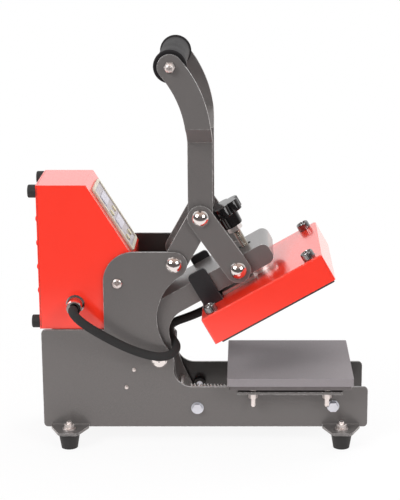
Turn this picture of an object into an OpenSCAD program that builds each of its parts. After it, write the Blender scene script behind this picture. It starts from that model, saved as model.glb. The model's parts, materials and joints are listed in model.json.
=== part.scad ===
// Small swing-arm heat press with a flat square platen, a toggle lever and a rear control box.
// Millimetres. X points to the operator, Z up, and the feet stand on Z = 0.
// The press is drawn open. The arm, with all it carries, is tilted up about its pivot.

/* [Base frame] */
// Length of the side plates
base_l = 390; // [385:1:400]
// Distance between the outer faces of the side plates
frame_w = 98; // [96:1:102]
// Thickness of the side plates and their tabs
plate_t = 3; // [2.5:0.1:3.4]
// Height of the low front section of a side plate
low_h = 50.4; // [46:0.2:54]
// Height of the rear section of a side plate
rear_h = 122.2; // [115:0.2:130]
// Height of the tower of a side plate
tower_h = 217.4; // [212:0.2:226]
// Length of the rear section behind the tower
tower_x = 75; // [70:1:84]
// Radius of the rear top corner of the tower
tower_r = 36; // [20:1:40]
// Radius of the eye round the lever pivot
tower_eye_r = 15.6; // [13:0.1:17]
// Radius of the corners of the side plates
corner_r = 5; // [2:0.5:9]
// Width of the foot of the tower in front of the arm pivot
tower_foot = 16.9; // [12:0.1:20]
// Radius where the tower meets the low section
throat_fillet_r = 22; // [10:1:30]
// Radius inside every bent tab
bend_r = 1; // [0.5:0.1:1.5]

/* [Feet] */
// Height of a rubber foot
foot_h = 19.6; // [15:0.2:26]
// Diameter of a foot at the top
foot_top_d = 25; // [20:0.5:28]
// Diameter of a foot on the floor
foot_base_d = 19.5; // [16:0.5:22]
// Reach of a foot tab beyond the side plate
foot_tab_reach = 32; // [30:0.5:36]
// Width of a foot tab at its bend
foot_tab_root = 45; // [38:1:52]
// Width of a foot tab at its tip
foot_tab_tip = 25; // [20:1:34]
// Distance of the foot centres from the ends of the side plates
foot_inset = 32; // [28:1:40]
// Distance of the foot centres outside the side plates
foot_out = 16; // [15:0.5:18]
// Diameter of the foot bolts
foot_bolt_d = 6; // [5:0.5:7]
// Length of a foot bolt above its nut
foot_bolt_spare = 3; // [1:0.5:6]

/* [Lower platen] */
// Side of the square silicone pad
pad_size = 150; // [140:1:156]
// Thickness of the pad
pad_t = 10; // [6:0.5:12]
// Side of the square steel platen under the pad
platen_size = 145; // [141:1:150]
// Thickness of the steel platen
platen_t = 5.2; // [4:0.2:6]
// Gap between the support tabs and the platen, filled by the jam nuts
platen_gap = 4; // [3:0.5:5]
// Reach of a support tab beyond the side plate
support_reach = 19.5; // [18:0.5:22]
// Length of a support tab
support_l = 125; // [110:1:140]
// Distance between the platen studs along the press
stud_pitch = 88; // [76:1:96]
// Distance of the platen studs outside the side plates
stud_out = 11; // [9.5:0.5:12]
// Diameter of the platen studs
stud_d = 6; // [5:0.5:6]
// Length of a platen stud below the platen
stud_l = 24.5; // [20:0.5:30]

/* [Linkage] */
// Distance of the arm pivot from the rear edge of the side plates
arm_pivot_x = 140.1; // [136:0.5:144]
// Height of the arm pivot above the floor
arm_pivot_z = 104.1; // [102:0.1:107]
// Distance from the arm pivot forward to the lever pivot
lever_pivot_dx = 18.7; // [15:0.1:22]
// Distance from the arm pivot up to the lever pivot
lever_pivot_dz = 117.3; // [114:0.1:121]
// Distance from the lever pivot to the toggle pin
toggle_l = 64.7; // [60:0.1:68]
// Angle of the toggle above level when open
toggle_angle = 60.8; // [56:0.1:65]
// Distance of the link pin from the arm pivot along the arm
link_pin_x = 136.8; // [134:0.1:138]
// Distance of the link pin from the arm pivot across the arm
link_pin_z = 50.2; // [49.5:0.1:51]
// Angle by which the open arm is tilted up
arm_open = 29.5; // [27:0.1:31]
// Radial running clearance of every pivot
run_gap = 0.05; // [0.02:0.01:0.1]
// Side clearance between plates that swing past each other
side_gap = 0.5; // [0.3:0.1:0.8]
// Diameter of the arm and lever shafts
shaft_d = 12; // [10:0.5:13]
// Diameter of the toggle pins
toggle_pin_d = 10; // [8:0.5:11]
// Diameter of the link pins
link_pin_d = 8; // [7:0.5:8.5]
// Diameter of the slack hole for a link pin in the arm
slack_hole_d = 18.4; // [17.8:0.1:18.8]
// Diameter of the polished pivot caps
cap_d = 20.6; // [17:0.2:23]
// Height of the polished pivot caps
cap_h = 7.4; // [5:0.2:9]

/* [Lever] */
// Width of a lever plate
lever_w = 29; // [26:0.2:32]
// Thickness of a lever plate
lever_t = 4; // [3:0.5:4.5]
// Height of the lower bend line above the toggle pin
flare_low = 89; // [75:1:92]
// Height over which a lever plate leans outward
flare_h = 21; // [16:1:26]
// Distance between the outer faces of the lever plates at the grip
flare_w = 160; // [150:1:170]
// Height of the start of the curve above the toggle pin
curve_start = 94; // [92:1:104]
// Radius of the curve along the middle of a lever plate
curve_r = 132.8; // [120:1:150]
// Angle of the curve
curve_angle = 40.7; // [34:0.5:46]
// Diameter of the grip
grip_d = 34; // [28:1:36]
// Diameter of the end flanges of the grip
grip_flange_d = 38; // [36:0.4:42]
// Thickness of the end flanges of the grip
grip_flange_t = 6; // [4:0.5:8]
// Diameter of the rod inside the grip
grip_rod_d = 16; // [14:1:20]
// Diameter of the screws at the ends of the grip
grip_screw_d = 8; // [6:1:9]

/* [Link] */
// Width of a link
link_w = 30.4; // [27:0.2:32]
// Thickness of a link
link_t = 4; // [3:0.5:5]

/* [Arm] */
// Distance between the outer faces of the arm plates
arm_w = 82; // [80:0.5:82]
// Thickness of an arm plate
arm_t = 3; // [2.5:0.1:3.5]
// Height of the top edge of the arm above the pivot line
arm_top = 62.5; // [61.5:0.1:63.5]
// Depth of the level part of an arm plate
arm_depth = 25; // [24:0.2:26.5]
// Distance of the front end of the arm from the pivot
arm_end = 181; // [178:0.5:186]
// Radius of the front corners of the arm
arm_end_r = 9; // [5:0.5:11]
// Radius of the outer bend of the arm
arm_bend_r = 58.5; // [56:0.5:60]
// Radius of the inner bend of the arm
arm_inner_r = 29; // [24:0.5:31]
// Distance from the pivot forward to the front edge of the arm's leg
arm_leg_x = 22.5; // [20:0.1:23.5]
// Length of the tail below the pivot
tail_l = 72.6; // [70:0.2:74]
// Distance of the end of the tail in front of the pivot line
tail_x = -5; // [-6:0.1:-4]
// Radius of the end of the tail
tail_r = 7; // [6:0.1:7.1]
// Distance of the tail bar below the pivot
tail_bar_l = 57; // [54:0.5:60]
// Distance of the tail bar in front of the pivot line
tail_bar_x = -5.5; // [-7:0.1:-4]
// Diameter of the tail bar
tail_bar_d = 8; // [6:0.5:9]
// Outer diameter of the arm bushes
bush_d = 18; // [16:0.5:20]
// Outer diameter of the flange of an arm bush
bush_flange_d = 24; // [22:0.5:28]

/* [Head] */
// Distance of the middle of the heater platen from the arm pivot
head_x = 156.2; // [155:0.2:157]
// Distance of the pressure screw from the arm pivot
screw_x = 152.6; // [151:0.2:154]
// Distance of the middle of the cover behind the middle of the heater platen
cover_back = 2.2; // [1:0.1:2.4]
// Length of the cover along the arm
cover_l = 160; // [158:0.5:162]
// Width of the cover
cover_w = 166; // [156:1:172]
// Height of the cover
cover_h = 34.2; // [32:0.2:36]
// Distance of the lower edge of the cover below the pivot line
cover_low = 7; // [6:0.1:8]
// Thickness of the sheet metal of the cover and the control box
sheet_t = 1.5; // [1:0.1:2]
// Radius of the edges of the cover
cover_r = 2.4; // [2.1:0.1:4]
// Side of the square heater platen
heater_size = 150; // [140:1:150]
// Thickness of the heater platen
heater_t = 10; // [8:0.5:12]
// Distance of the heater face below the lower edge of the cover
heater_out = 4; // [3:0.1:6]
// Diameter of the heads of the cover screws
cover_screw_d = 15.5; // [13:0.5:17]
// Height of the heads of the cover screws
cover_screw_h = 9; // [6:0.5:11]
// Distance of the cover screws from the middle along the arm
cover_screw_x = 65; // [58:0.5:66]
// Distance of the cover screws from the middle across the head
cover_screw_y = 72; // [60:0.5:73]
// Length of a guide ear along the arm
ear_l = 23.5; // [18:0.5:28]
// Height of a guide ear above the cover
ear_h = 45; // [40:0.5:48]
// Distance of the guide ears from the rear edge of the cover
ear_x = 5.4; // [2:0.1:6]
// Thickness of the steel base of the guide
guide_t = 4; // [3:0.2:5]
// Width of the steel base of the guide
guide_w = 60; // [50:1:74]
// Diameter of the knurled thrust disc
disc_d = 44; // [38:1:52]
// Thickness of the thrust disc
disc_t = 4.6; // [3.6:0.2:5]
// Height of the cable entry above the pivot line
cable_z = 15.5; // [12:0.1:17]
// Diameter of the heater cable
cable_d = 10.4; // [8:0.2:10.4]

/* [Pressure screw] */
// Diameter of the pressure screw
screw_d = 10; // [9:0.5:12]
// Radial clearance of the pressure screw in its nut and disc
screw_gap = 0.08; // [0.05:0.01:0.1]
// Length of the nut bar along the arm
nut_bar_l = 22; // [20:0.5:26]
// Height of the nut bar
nut_bar_h = 17; // [14:0.5:18]
// Height of the bottom of the knob above the pivot line
knob_z = 90; // [86:0.5:96]
// Height of the knob
knob_h = 31; // [26:0.5:36]
// Radius of the knob over its lobes
knob_r = 19.6; // [17:0.2:21]
// Number of lobes of the knob
knob_lobes = 6; // [5:1:8]
// Width across the flats of the lock nut
lock_nut_w = 16; // [15:0.5:18]
// Height of the lock nut
lock_nut_h = 6; // [5:0.5:8]

/* [Return spring] */
// Outer diameter of the spring
spring_d = 12; // [10:0.2:12.4]
// Diameter of the spring wire
wire_d = 1.8; // [1.2:0.1:2]
// Distance between the turns when open
spring_pitch = 4.1; // [3.4:0.1:4.6]
// Number of turns
spring_turns = 30; // [20:1:32]
// Distance of the front rod from the front edge of the side plates
front_rod_x = 41.7; // [38:0.5:46]
// Height of the front rod above the lower edge of the side plates
front_rod_z = 26.5; // [20:0.5:32]
// Diameter of the front rod
front_rod_d = 10; // [8:0.5:12]

/* [Open stop] */
// Distance of the stop bolts in front of the arm pivot
stop_x = 45.1; // [44.6:0.1:46]
// Distance of the stop bolts below the arm pivot
stop_z = 60.5; // [60:0.1:61.5]
// Diameter of the stop sleeves
stop_d = 15; // [13:0.2:15]
// Diameter of the bolts through the side plates
frame_bolt_d = 8; // [6:0.5:8]

/* [Control box] */
// Height of the control box
box_h = 174.6; // [160:0.2:190]
// Length of the top of the control box
box_top_l = 56.8; // [52:0.2:60]
// Angle of the sloping front below level
slope_angle = 58.25; // [56:0.25:62]
// Length of the sloping front
slope_l = 103; // [100:0.5:106]
// Thickness of the rear panel
panel_t = 1.5; // [1:0.1:2]
// Number of louvres in the rear panel
louvre_n = 4; // [2:1:5]
// Distance between the louvres
louvre_pitch = 29; // [24:0.5:32]
// Width of a louvre
louvre_w = 80; // [60:1:82]
// Diameter of the rear bumpers
bumper_d = 15.5; // [12:0.5:16]
// Height of the rear bumpers
bumper_h = 9.5; // [6:0.5:12]
// Length of the control bezel along the slope
bezel_l = 88; // [84:0.5:90]
// Width of the control bezel
bezel_w = 62; // [58:0.5:70]
// Height of the control bezel
bezel_h = 3; // [2.6:0.2:4]
// Width of the rim of the control bezel
bezel_rim = 4; // [3:0.2:5]
// Thickness of the key panel
membrane_t = 1.8; // [1.4:0.1:2]
// Diameter of a key
key_d = 8; // [6:0.5:9]
// Height of a key above the key panel
key_h = 1.4; // [1:0.1:2]
// Distance of the keys from the middle of the key panel
key_y = 12; // [8:0.5:16]
// Distance of the heater socket from the rear edge of the side plates
socket_x = 41.5; // [36:0.5:46]
// Height of the heater socket above the bottom of the control box
socket_z = 31.4; // [26:0.2:40]
// Diameter of the heater plug
plug_d = 19; // [16:0.5:20]
// Length of the heater plug
plug_l = 19.8; // [19.8:0.1:19.9]
// Width of the power inlet module
inlet_w = 28; // [27:0.5:32]
// Height of the power inlet module
inlet_h = 50; // [49:0.5:54]

/* [Hidden] */
$fn = 48;

eps = 0.01;
press_gap = 0.02;
seat_gap = 0.1;
// Small overlap where an arc runs on into a line, so that the two cross cleanly
seam = 0.02;

// Ends of the press, so that its whole length is centred on X = 0
panel_gap = 0.3;
rear_reach = bumper_h + panel_t;
x_front = (base_l + rear_reach) / 2;
x_rear = x_front - base_l;
low_top = foot_h + low_h;
rear_top = foot_h + rear_h;
tower_top = foot_h + tower_h;
outer_y = frame_w / 2;
inner_y = outer_y - plate_t;

// Pivots in the X Z plane
arm_pivot = [x_rear + arm_pivot_x, arm_pivot_z];
lever_pivot = arm_pivot + [lever_pivot_dx, lever_pivot_dz];
toggle_pin = lever_pivot + toggle_l * [cos(toggle_angle), sin(toggle_angle)];
function swung(p) = arm_pivot + [
    p[0] * cos(arm_open) - p[1] * sin(arm_open),
    p[0] * sin(arm_open) + p[1] * cos(arm_open)
];
link_pin = swung([link_pin_x, link_pin_z]);
tail_pin = swung([tail_bar_x, -tail_bar_l]);
front_rod_at = [x_front - front_rod_x, foot_h + front_rod_z];
stop_at = arm_pivot + [stop_x, -stop_z];

// Tower outline: the throat arc is tangent to the eye round the lever pivot
throat_c = arm_pivot + [60.2, 51.2];
throat_r = norm(throat_c - lever_pivot) - tower_eye_r;
throat_x = arm_pivot[0] + tower_foot;

// Layers across the press, from the side plates inward
lever_out = inner_y - side_gap;
lever_in = lever_out - lever_t;
link_in = inner_y;
link_out = link_in + link_t;
arm_out = arm_w / 2;
arm_in = arm_out - arm_t;
shaft_r = shaft_d / 2;

// Heights of the platen stack
platen_x = arm_pivot[0] + head_x;
platen_z = low_top + platen_gap;
pad_z = platen_z + platen_t;
stud_y = outer_y + stud_out;
foot_y = outer_y + foot_out;
foot_xs = [x_rear + foot_inset, x_front - foot_inset];
nut_h = 5;
washer_t = 1.6;

// Head, in the frame of the arm
cover_c = head_x - cover_back;
cover_x = cover_c - cover_l / 2;
cover_top = cover_h - cover_low;
heater_face = cover_low + heater_out;
guide_top = cover_top + guide_t;
ear_r = 5;
ear_out = lever_out - side_gap / 2;
ear_in = arm_out + side_gap / 2;

// Control box
box_x = x_rear + panel_gap;
box_bottom = rear_top + panel_gap;
box_top = rear_top + box_h;
box_y = inner_y - panel_gap;
slope_at = [box_x + box_top_l, box_top];
box_front = slope_at[0] + slope_l * cos(slope_angle);
slope_end = box_top - slope_l * sin(slope_angle);
bezel_at = (slope_l - bezel_l) / 2 + 2;
panel_l = bezel_l - 2 * bezel_rim;
panel_w = bezel_w - 2 * bezel_rim;
window_l = panel_l * 0.17;
window_w = 34;
window_t = 0.8;
key_r = key_d / 2;
key_rows = [0.44, 0.87];
window_rows = [0.13, 0.54];
cutout_rim = 5;
board_drop = 6;
socket_at = [x_rear + socket_x, box_bottom + socket_z];
socket_flange_t = 2.5;
socket_r = plug_d / 2 + 1.5;
inlet_at = [x_rear + 32, box_bottom + 52];
inlet_t = 2.5;
inlet_depth = 22;
rocker_w = 12;
rocker_l = 20;
rocker_tilt = 8;

// Grip, in the X Z plane
curve_c = toggle_pin + [-curve_r, curve_start];
grip_at = curve_c + curve_r * [cos(curve_angle), sin(curve_angle)];
flare_out = flare_w / 2;
flare_in = flare_out - lever_t;
flare_z = toggle_pin[1] + flare_low;

module place(p) { translate([p[0], 0, p[1]]) children(); }

module in_arm() { place(arm_pivot) rotate([0, -arm_open, 0]) children(); }

module on_slope() { place(slope_at) rotate([0, slope_angle, 0]) children(); }

module both_sides() {
    children();
    mirror([0, 1, 0]) children();
}

// Stands a flat outline, drawn in X and Z, between the depths y0 and y1
module slab(y0, y1) {
    translate([0, y1, 0]) rotate([90, 0, 0]) linear_extrude(y1 - y0) children();
}

// Runs an outline, drawn in Y and Z, from x0 to x1
module along_x(x0, x1) {
    translate([x0, 0, 0]) rotate([90, 0, 90]) linear_extrude(x1 - x0) children();
}

// Round bar along Y, centred at p
module bar(p, r, y0, y1) {
    translate([p[0], y0, p[1]]) rotate([-90, 0, 0]) cylinder(r = r, h = y1 - y0);
}

module hex_nut(across, h, bore_r) {
    difference() {
        cylinder(d = across / cos(30), h = h, $fn = 6);
        translate([0, 0, -eps]) cylinder(r = bore_r, h = h + 2 * eps);
    }
}

module ring(outer_r, bore_r, h) {
    difference() {
        cylinder(r = outer_r, h = h);
        translate([0, 0, -eps]) cylinder(r = bore_r, h = h + 2 * eps);
    }
}

// Low polished dome on a short rim
module dome(d, h) {
    rim = 1;
    ball_r = (d * d / 4 + (h - rim) * (h - rim)) / (2 * (h - rim));
    rotate_extrude() {
        square([d / 2, rim]);
        intersection() {
            translate([0, h - ball_r]) circle(r = ball_r, $fn = 96);
            translate([0, rim - eps]) square([d, h]);
        }
    }
}

// Rectangle from a to b with the corner radius r
module rounded(a, b, r) {
    translate([a[0] + r, a[1]]) square([b[0] - a[0] - 2 * r, b[1] - a[1]]);
    translate([a[0], a[1] + r]) square([b[0] - a[0], b[1] - a[1] - 2 * r]);
    for (x = [a[0] + r, b[0] - r])
        for (z = [a[1] + r, b[1] - r])
            translate([x, z]) circle(r = r);
}

// Frame

module tower_shape() {
    back = x_rear + tower_x;
    eye = lever_pivot;
    touch = eye + (tower_eye_r + 4) * unit(throat_c - eye);
    difference() {
        union() {
            translate([back + tower_r, tower_top - tower_r]) circle(r = tower_r);
            translate([back, rear_top - 20]) square([tower_r, tower_top - tower_r - rear_top + 20]);
            polygon([[back + tower_r, tower_top], [eye[0], tower_top], eye, touch,
                [touch[0], throat_c[1]], [throat_x, throat_c[1]], [throat_x, low_top - 20], [back + tower_r, low_top - 20]]);
        }
        translate(throat_c) circle(r = throat_r + seam, $fn = 96);
    }
    translate(eye) circle(r = tower_eye_r);
}

module side_shape() {
    root = throat_x + throat_fillet_r;
    rounded([x_rear, foot_h], [x_front, low_top], corner_r);
    rounded([x_rear, foot_h], [throat_x - 20, rear_top], corner_r);
    tower_shape();
    difference() {
        translate([throat_x - 5, low_top - 20]) square([throat_fillet_r + 5, throat_fillet_r + 20]);
        translate([root, low_top + throat_fillet_r]) circle(r = throat_fillet_r);
    }
}

// Quarter turn of bent sheet on the near side. up is 1 for a tab at the top edge and -1 at the bottom.
module bent_edge(x0, x1, z, up) {
    bend_out = bend_r + plate_t;
    along_x(x0, x1) translate([-outer_y - bend_r, z - up * bend_out]) intersection() {
        difference() {
            circle(r = bend_out);
            circle(r = bend_r);
        }
        translate([0, up > 0 ? 0 : -bend_out]) square([bend_out, bend_out]);
    }
}

module foot_tab(x) {
    root = foot_tab_root / 2;
    tip = foot_tab_tip / 2;
    y_root = -outer_y - bend_r;
    y_tip = -outer_y - foot_tab_reach;
    bent_edge(x - root, x + root, foot_h, -1);
    difference() {
        translate([0, 0, foot_h]) linear_extrude(plate_t)
            polygon([[x - root, y_root], [x - root, y_root - 5], [x - tip, y_tip + 3], [x - tip + 3, y_tip],
                [x + tip - 3, y_tip], [x + tip, y_tip + 3], [x + root, y_root - 5], [x + root, y_root]]);
        translate([x, -foot_y, 0]) cylinder(d = foot_bolt_d + 0.6, h = 60);
    }
}

module support_tab() {
    x0 = platen_x - support_l / 2;
    x1 = platen_x + support_l / 2;
    bent_edge(x0, x1, low_top, 1);
    difference() {
        translate([x0, -outer_y - support_reach, low_top - plate_t])
            cube([support_l, support_reach - bend_r, plate_t]);
        for (x = [platen_x - stud_pitch / 2, platen_x + stud_pitch / 2])
            translate([x, -stud_y, 0]) cylinder(d = stud_d + 0.6, h = low_top + 10);
    }
}

// Near side plate, with its bent tabs and the holes for everything that passes through it
module side_plate() {
    bend_out = bend_r + plate_t;
    difference() {
        slab(-outer_y, -inner_y) side_shape();
        for (x = foot_xs)
            translate([x - foot_tab_root / 2, -outer_y - 1, foot_h - 1]) cube([foot_tab_root, plate_t + 2, bend_out + 1]);
        translate([platen_x - support_l / 2, -outer_y - 1, low_top - bend_out]) cube([support_l, plate_t + 2, bend_out + 1]);
        bar(arm_pivot, shaft_r + press_gap, -outer_y - 1, 0);
        bar(lever_pivot, shaft_r + press_gap, -outer_y - 1, 0);
        for (p = [front_rod_at, stop_at]) bar(p, frame_bolt_d / 2 + seat_gap, -outer_y - 1, 0);
        for (p = housing_screw_at) bar(p, 2.6 + seat_gap, -outer_y - 1, 0);
        for (p = brace_rivet_at) bar(p, 1.6 + seat_gap, -outer_y - 1, 0);
    }
    for (x = foot_xs) foot_tab(x);
    support_tab();
}

module side_plate_left() { color([0.42, 0.40, 0.39]) side_plate(); }

module side_plate_right() { color([0.42, 0.40, 0.39]) mirror([0, 1, 0]) side_plate(); }

// Channel riveted between the side plates behind the arm
housing_screw_at = [[x_rear + 91.6, rear_top + 57]];
brace_at = [x_rear + 105, rear_top - 61];
brace_lean = 23;
brace_h = 48;
brace_flange = 16;
brace_t = 2;
function on_brace(u, v) = brace_at + [
    u * cos(brace_lean) + v * sin(brace_lean),
    -u * sin(brace_lean) + v * cos(brace_lean)
];
brace_rivet_at = [on_brace(0, 12), on_brace(0, -12)];

module rear_cross_brace() {
    reach = inner_y;
    half = brace_flange / 2;
    color([0.42, 0.40, 0.39]) difference() {
        place(brace_at) rotate([0, brace_lean, 0]) difference() {
            translate([-half, -reach, -brace_h / 2]) cube([brace_flange, 2 * reach, brace_h]);
            translate([-half - 1, -reach + brace_t, -brace_h / 2 - 1])
                cube([brace_flange - brace_t + 1, 2 * reach - 2 * brace_t, brace_h + 2]);
        }
        for (p = brace_rivet_at) bar(p, 1.6 + seat_gap, -outer_y - 1, outer_y + 1);
    }
}

module front_rod() {
    color([0.75, 0.75, 0.77]) difference() {
        bar(front_rod_at, front_rod_d / 2, -inner_y, inner_y);
        for (y = [-inner_y - 1, inner_y - 13]) bar(front_rod_at, 2.5 + seat_gap, y, y + 14);
    }
}

// Hexagon bolt from outside the near plate, with a loose washer under its head
module frame_bolt(p, shank_r, head_d, head_h, reach) {
    plate_hole = frame_bolt_d / 2;
    translate([p[0], -outer_y - washer_t, p[1]]) rotate([90, 0, 0]) cylinder(d = head_d, h = head_h, $fn = 6);
    bar(p, plate_hole, -outer_y - washer_t - eps, -inner_y);
    bar(p, shank_r, -inner_y - eps, -inner_y + reach);
    translate([p[0], -outer_y, p[1]]) rotate([90, 0, 0]) ring(7.5, plate_hole + seat_gap, washer_t - press_gap);
}

module frame_bolts() {
    color([0.75, 0.76, 0.80]) both_sides() {
        frame_bolt(front_rod_at, 2.5, 13, 5, 10);
        frame_bolt(stop_at, 4, 13, 3, 9);
    }
}

// Sleeves on which the tail of the open arm rests
module stop_sleeves() {
    color([0.10, 0.10, 0.10]) both_sides()
        translate([stop_at[0], -inner_y, stop_at[1]]) rotate([-90, 0, 0]) ring(stop_d / 2, 4 + seat_gap, inner_y - arm_in + 2);
}

// Lower platen

module silicone_pad() {
    half = pad_size / 2;
    color([0.50, 0.48, 0.49]) translate([platen_x, 0, pad_z]) linear_extrude(pad_t)
        rounded([-half, -half], [half, half], 2);
}

module platen_plate() {
    half = platen_size / 2;
    color([0.42, 0.40, 0.40]) translate([platen_x, 0, platen_z]) linear_extrude(platen_t)
        rounded([-half, -half], [half, half], 2.5);
}

module at_studs() {
    for (x = [-stud_pitch / 2, stud_pitch / 2])
        for (y = [-stud_y, stud_y])
            translate([platen_x + x, y, 0]) children();
}

module platen_studs() {
    r = stud_d / 2;
    color([0.78, 0.76, 0.76]) at_studs() translate([0, 0, platen_z - stud_l]) {
        cylinder(r1 = r - 1, r2 = r, h = 1.5);
        translate([0, 0, 1.5 - eps]) cylinder(r = r, h = stud_l - 1.5 + eps);
    }
}

// Jam nut above each support tab, washer and nut below it
module platen_nuts() {
    bore = stud_d / 2 + seat_gap;
    color([0.78, 0.76, 0.76]) at_studs() {
        translate([0, 0, low_top]) hex_nut(10, platen_gap - press_gap, bore);
        translate([0, 0, low_top - plate_t - washer_t]) ring(6, bore, washer_t);
        translate([0, 0, low_top - plate_t - washer_t - nut_h]) hex_nut(10, nut_h - press_gap, bore);
    }
}

// Feet

module at_feet() {
    for (x = foot_xs)
        for (y = [-foot_y, foot_y])
            translate([x, y, 0]) children();
}

module rubber_feet() {
    color([0.08, 0.08, 0.08]) at_feet() difference() {
        union() {
            cylinder(d1 = foot_base_d, d2 = foot_top_d, h = foot_h - 3);
            translate([0, 0, foot_h - 3 - eps]) cylinder(d = foot_top_d, h = 3 + eps);
        }
        translate([0, 0, -1]) cylinder(r = 6, h = 8);
        cylinder(d = foot_bolt_d + 2 * seat_gap, h = foot_h + 1);
    }
}

module foot_bolts() {
    r = foot_bolt_d / 2;
    tab_top = foot_h + plate_t;
    tip = tab_top + washer_t + nut_h + foot_bolt_spare;
    color([0.78, 0.76, 0.76]) at_feet() {
        translate([0, 0, 3]) cylinder(r = 5.4, h = 3.9);
        translate([0, 0, 6.9 - eps]) cylinder(r = r, h = tip - 6.9);
        translate([0, 0, tab_top]) ring(8, r + seat_gap, washer_t);
        translate([0, 0, tab_top + washer_t + press_gap]) hex_nut(10, nut_h, r + seat_gap);
    }
}

// Control box

module box_shape(inset) {
    polygon([
        [box_x - (inset > 0 ? 1 : 0), box_bottom + inset],
        [box_front - inset, box_bottom + inset],
        [box_front - inset, slope_end - inset * tan(45 - slope_angle / 2)],
        [slope_at[0] - inset * tan(slope_angle / 2), box_top - inset],
        [box_x - (inset > 0 ? 1 : 0), box_top - inset]
    ]);
}

// Folded shell, open at the rear, with cut-outs for the controls, the socket and the inlet
module control_housing() {
    color([0.93, 0.20, 0.15]) difference() {
        slab(-box_y, box_y) box_shape(0);
        slab(-box_y + sheet_t, box_y - sheet_t) box_shape(sheet_t);
        on_slope() translate([bezel_at + bezel_rim + cutout_rim, -panel_w / 2 + cutout_rim, -sheet_t - 1])
            cube([panel_l - 2 * cutout_rim, panel_w - 2 * cutout_rim, sheet_t + 2]);
        bar(socket_at, plug_d / 2 - 1.4, -box_y - 1, -box_y + sheet_t + 1);
        for (p = housing_screw_at) {
            bar(p, 2.5, -box_y - 1, -box_y + sheet_t + 1);
            bar(p, 2.5, box_y - sheet_t - 1, box_y + 1);
        }
        translate([inlet_at[0] - inlet_w / 2 + 2, box_y - sheet_t - 1, inlet_at[1] - inlet_h / 2 + 2])
            cube([inlet_w - 4, sheet_t + 2, inlet_h - 4]);
    }
}

// Screws that hold the control box to the towers, and the rivets of the brace
module housing_screws() {
    color([0.75, 0.75, 0.77]) both_sides() {
        for (p = housing_screw_at) {
            translate([p[0], -outer_y, p[1]]) rotate([90, 0, 0]) dome(12, 3.2);
            bar(p, 2.5 - press_gap, -outer_y - eps, -box_y + sheet_t + 4);
        }
        for (p = brace_rivet_at) {
            translate([p[0], -outer_y, p[1]]) rotate([90, 0, 0]) dome(5, 1.6);
            bar(p, 1.6, -outer_y - eps, -inner_y + brace_t);
        }
    }
}

function louvre_z(i) = box_bottom + box_h / 2 + (i - (louvre_n - 1) / 2) * louvre_pitch + 2.5;

module rear_panel() {
    face = x_rear - panel_t;
    bulge_r = 6;
    bulge_out = 2;
    color([0.93, 0.20, 0.15]) difference() {
        union() {
            translate([face, -box_y, box_bottom]) cube([panel_t, 2 * box_y, box_h - panel_gap]);
            for (i = [0:louvre_n - 1]) intersection() {
                bar([face + bulge_r - bulge_out, louvre_z(i)], bulge_r, -louvre_w / 2, louvre_w / 2);
                translate([face - bulge_out - 1, -louvre_w / 2, louvre_z(i) - bulge_r])
                    cube([bulge_out + 1 + eps, louvre_w, 2 * bulge_r]);
            }
        }
        for (i = [0:louvre_n - 1])
            translate([face - bulge_out - 1, -louvre_w / 2 + 2, louvre_z(i) - 1.2])
                cube([panel_t + bulge_out + 2, louvre_w - 4, 2.4]);
        for (z = [box_bottom + 8, box_top - 8])
            for (y = [-box_y + 6, box_y - 6])
                translate([face - 1, y, z]) rotate([0, 90, 0]) cylinder(r = 2 + seat_gap, h = panel_t + 2);
    }
}

module rear_bumpers() {
    color([0.10, 0.10, 0.10])
        for (z = [box_bottom + 8, box_top - 8])
            for (y = [-box_y + 6, box_y - 6])
                translate([x_rear - panel_t, y, z]) rotate([0, -90, 0]) {
                    cylinder(d = bumper_d, h = bumper_h - 1);
                    translate([0, 0, bumper_h - 1 - eps]) cylinder(d1 = bumper_d, d2 = bumper_d - 2, h = 1 + eps);
                    translate([0, 0, -panel_t - eps]) cylinder(r = 2, h = panel_t + 2 * eps);
                }
}

module control_bezel() {
    half = bezel_w / 2;
    color([0.86, 0.83, 0.76]) on_slope() translate([bezel_at, 0, 0]) difference() {
        linear_extrude(bezel_h) rounded([0, -half], [bezel_l, half], 4);
        translate([bezel_rim, -panel_w / 2, -1]) cube([panel_l, panel_w, bezel_h + 2]);
    }
}

module at_windows() {
    for (r = window_rows) translate([panel_l * r, 0, 0]) children();
}

module at_key(row, side) {
    on_slope() translate([bezel_at + bezel_rim + panel_l * key_rows[row], side * key_y, 0]) children();
}

module key_panel() {
    color([0.62, 0.62, 0.64]) difference() {
        on_slope() translate([bezel_at + bezel_rim + seat_gap, -panel_w / 2 + seat_gap, 0])
            cube([panel_l - 2 * seat_gap, panel_w - 2 * seat_gap, membrane_t]);
        for (row = [0, 1])
            for (side = [-1, 1])
                at_key(row, side) translate([0, 0, -1]) cylinder(r = key_r + 0.2, h = membrane_t + 2);
    }
}

module display_windows() {
    color([0.12, 0.10, 0.10]) on_slope() translate([bezel_at + bezel_rim, 0, membrane_t]) at_windows()
        translate([0, -window_w / 2, 0]) cube([window_l, window_w, window_t]);
}

module key(row, side) {
    color([0.85, 0.80, 0.55]) at_key(row, side) translate([0, 0, -0.6]) {
        cylinder(r = key_r, h = 0.6 + membrane_t + key_h - 0.4);
        translate([0, 0, 0.2 + membrane_t + key_h - eps]) cylinder(r1 = key_r, r2 = key_r - 0.5, h = 0.4);
    }
}

module key_temp_up() { key(0, 1); }

module key_temp_down() { key(0, -1); }

module key_time_up() { key(1, 1); }

module key_time_down() { key(1, -1); }

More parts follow.
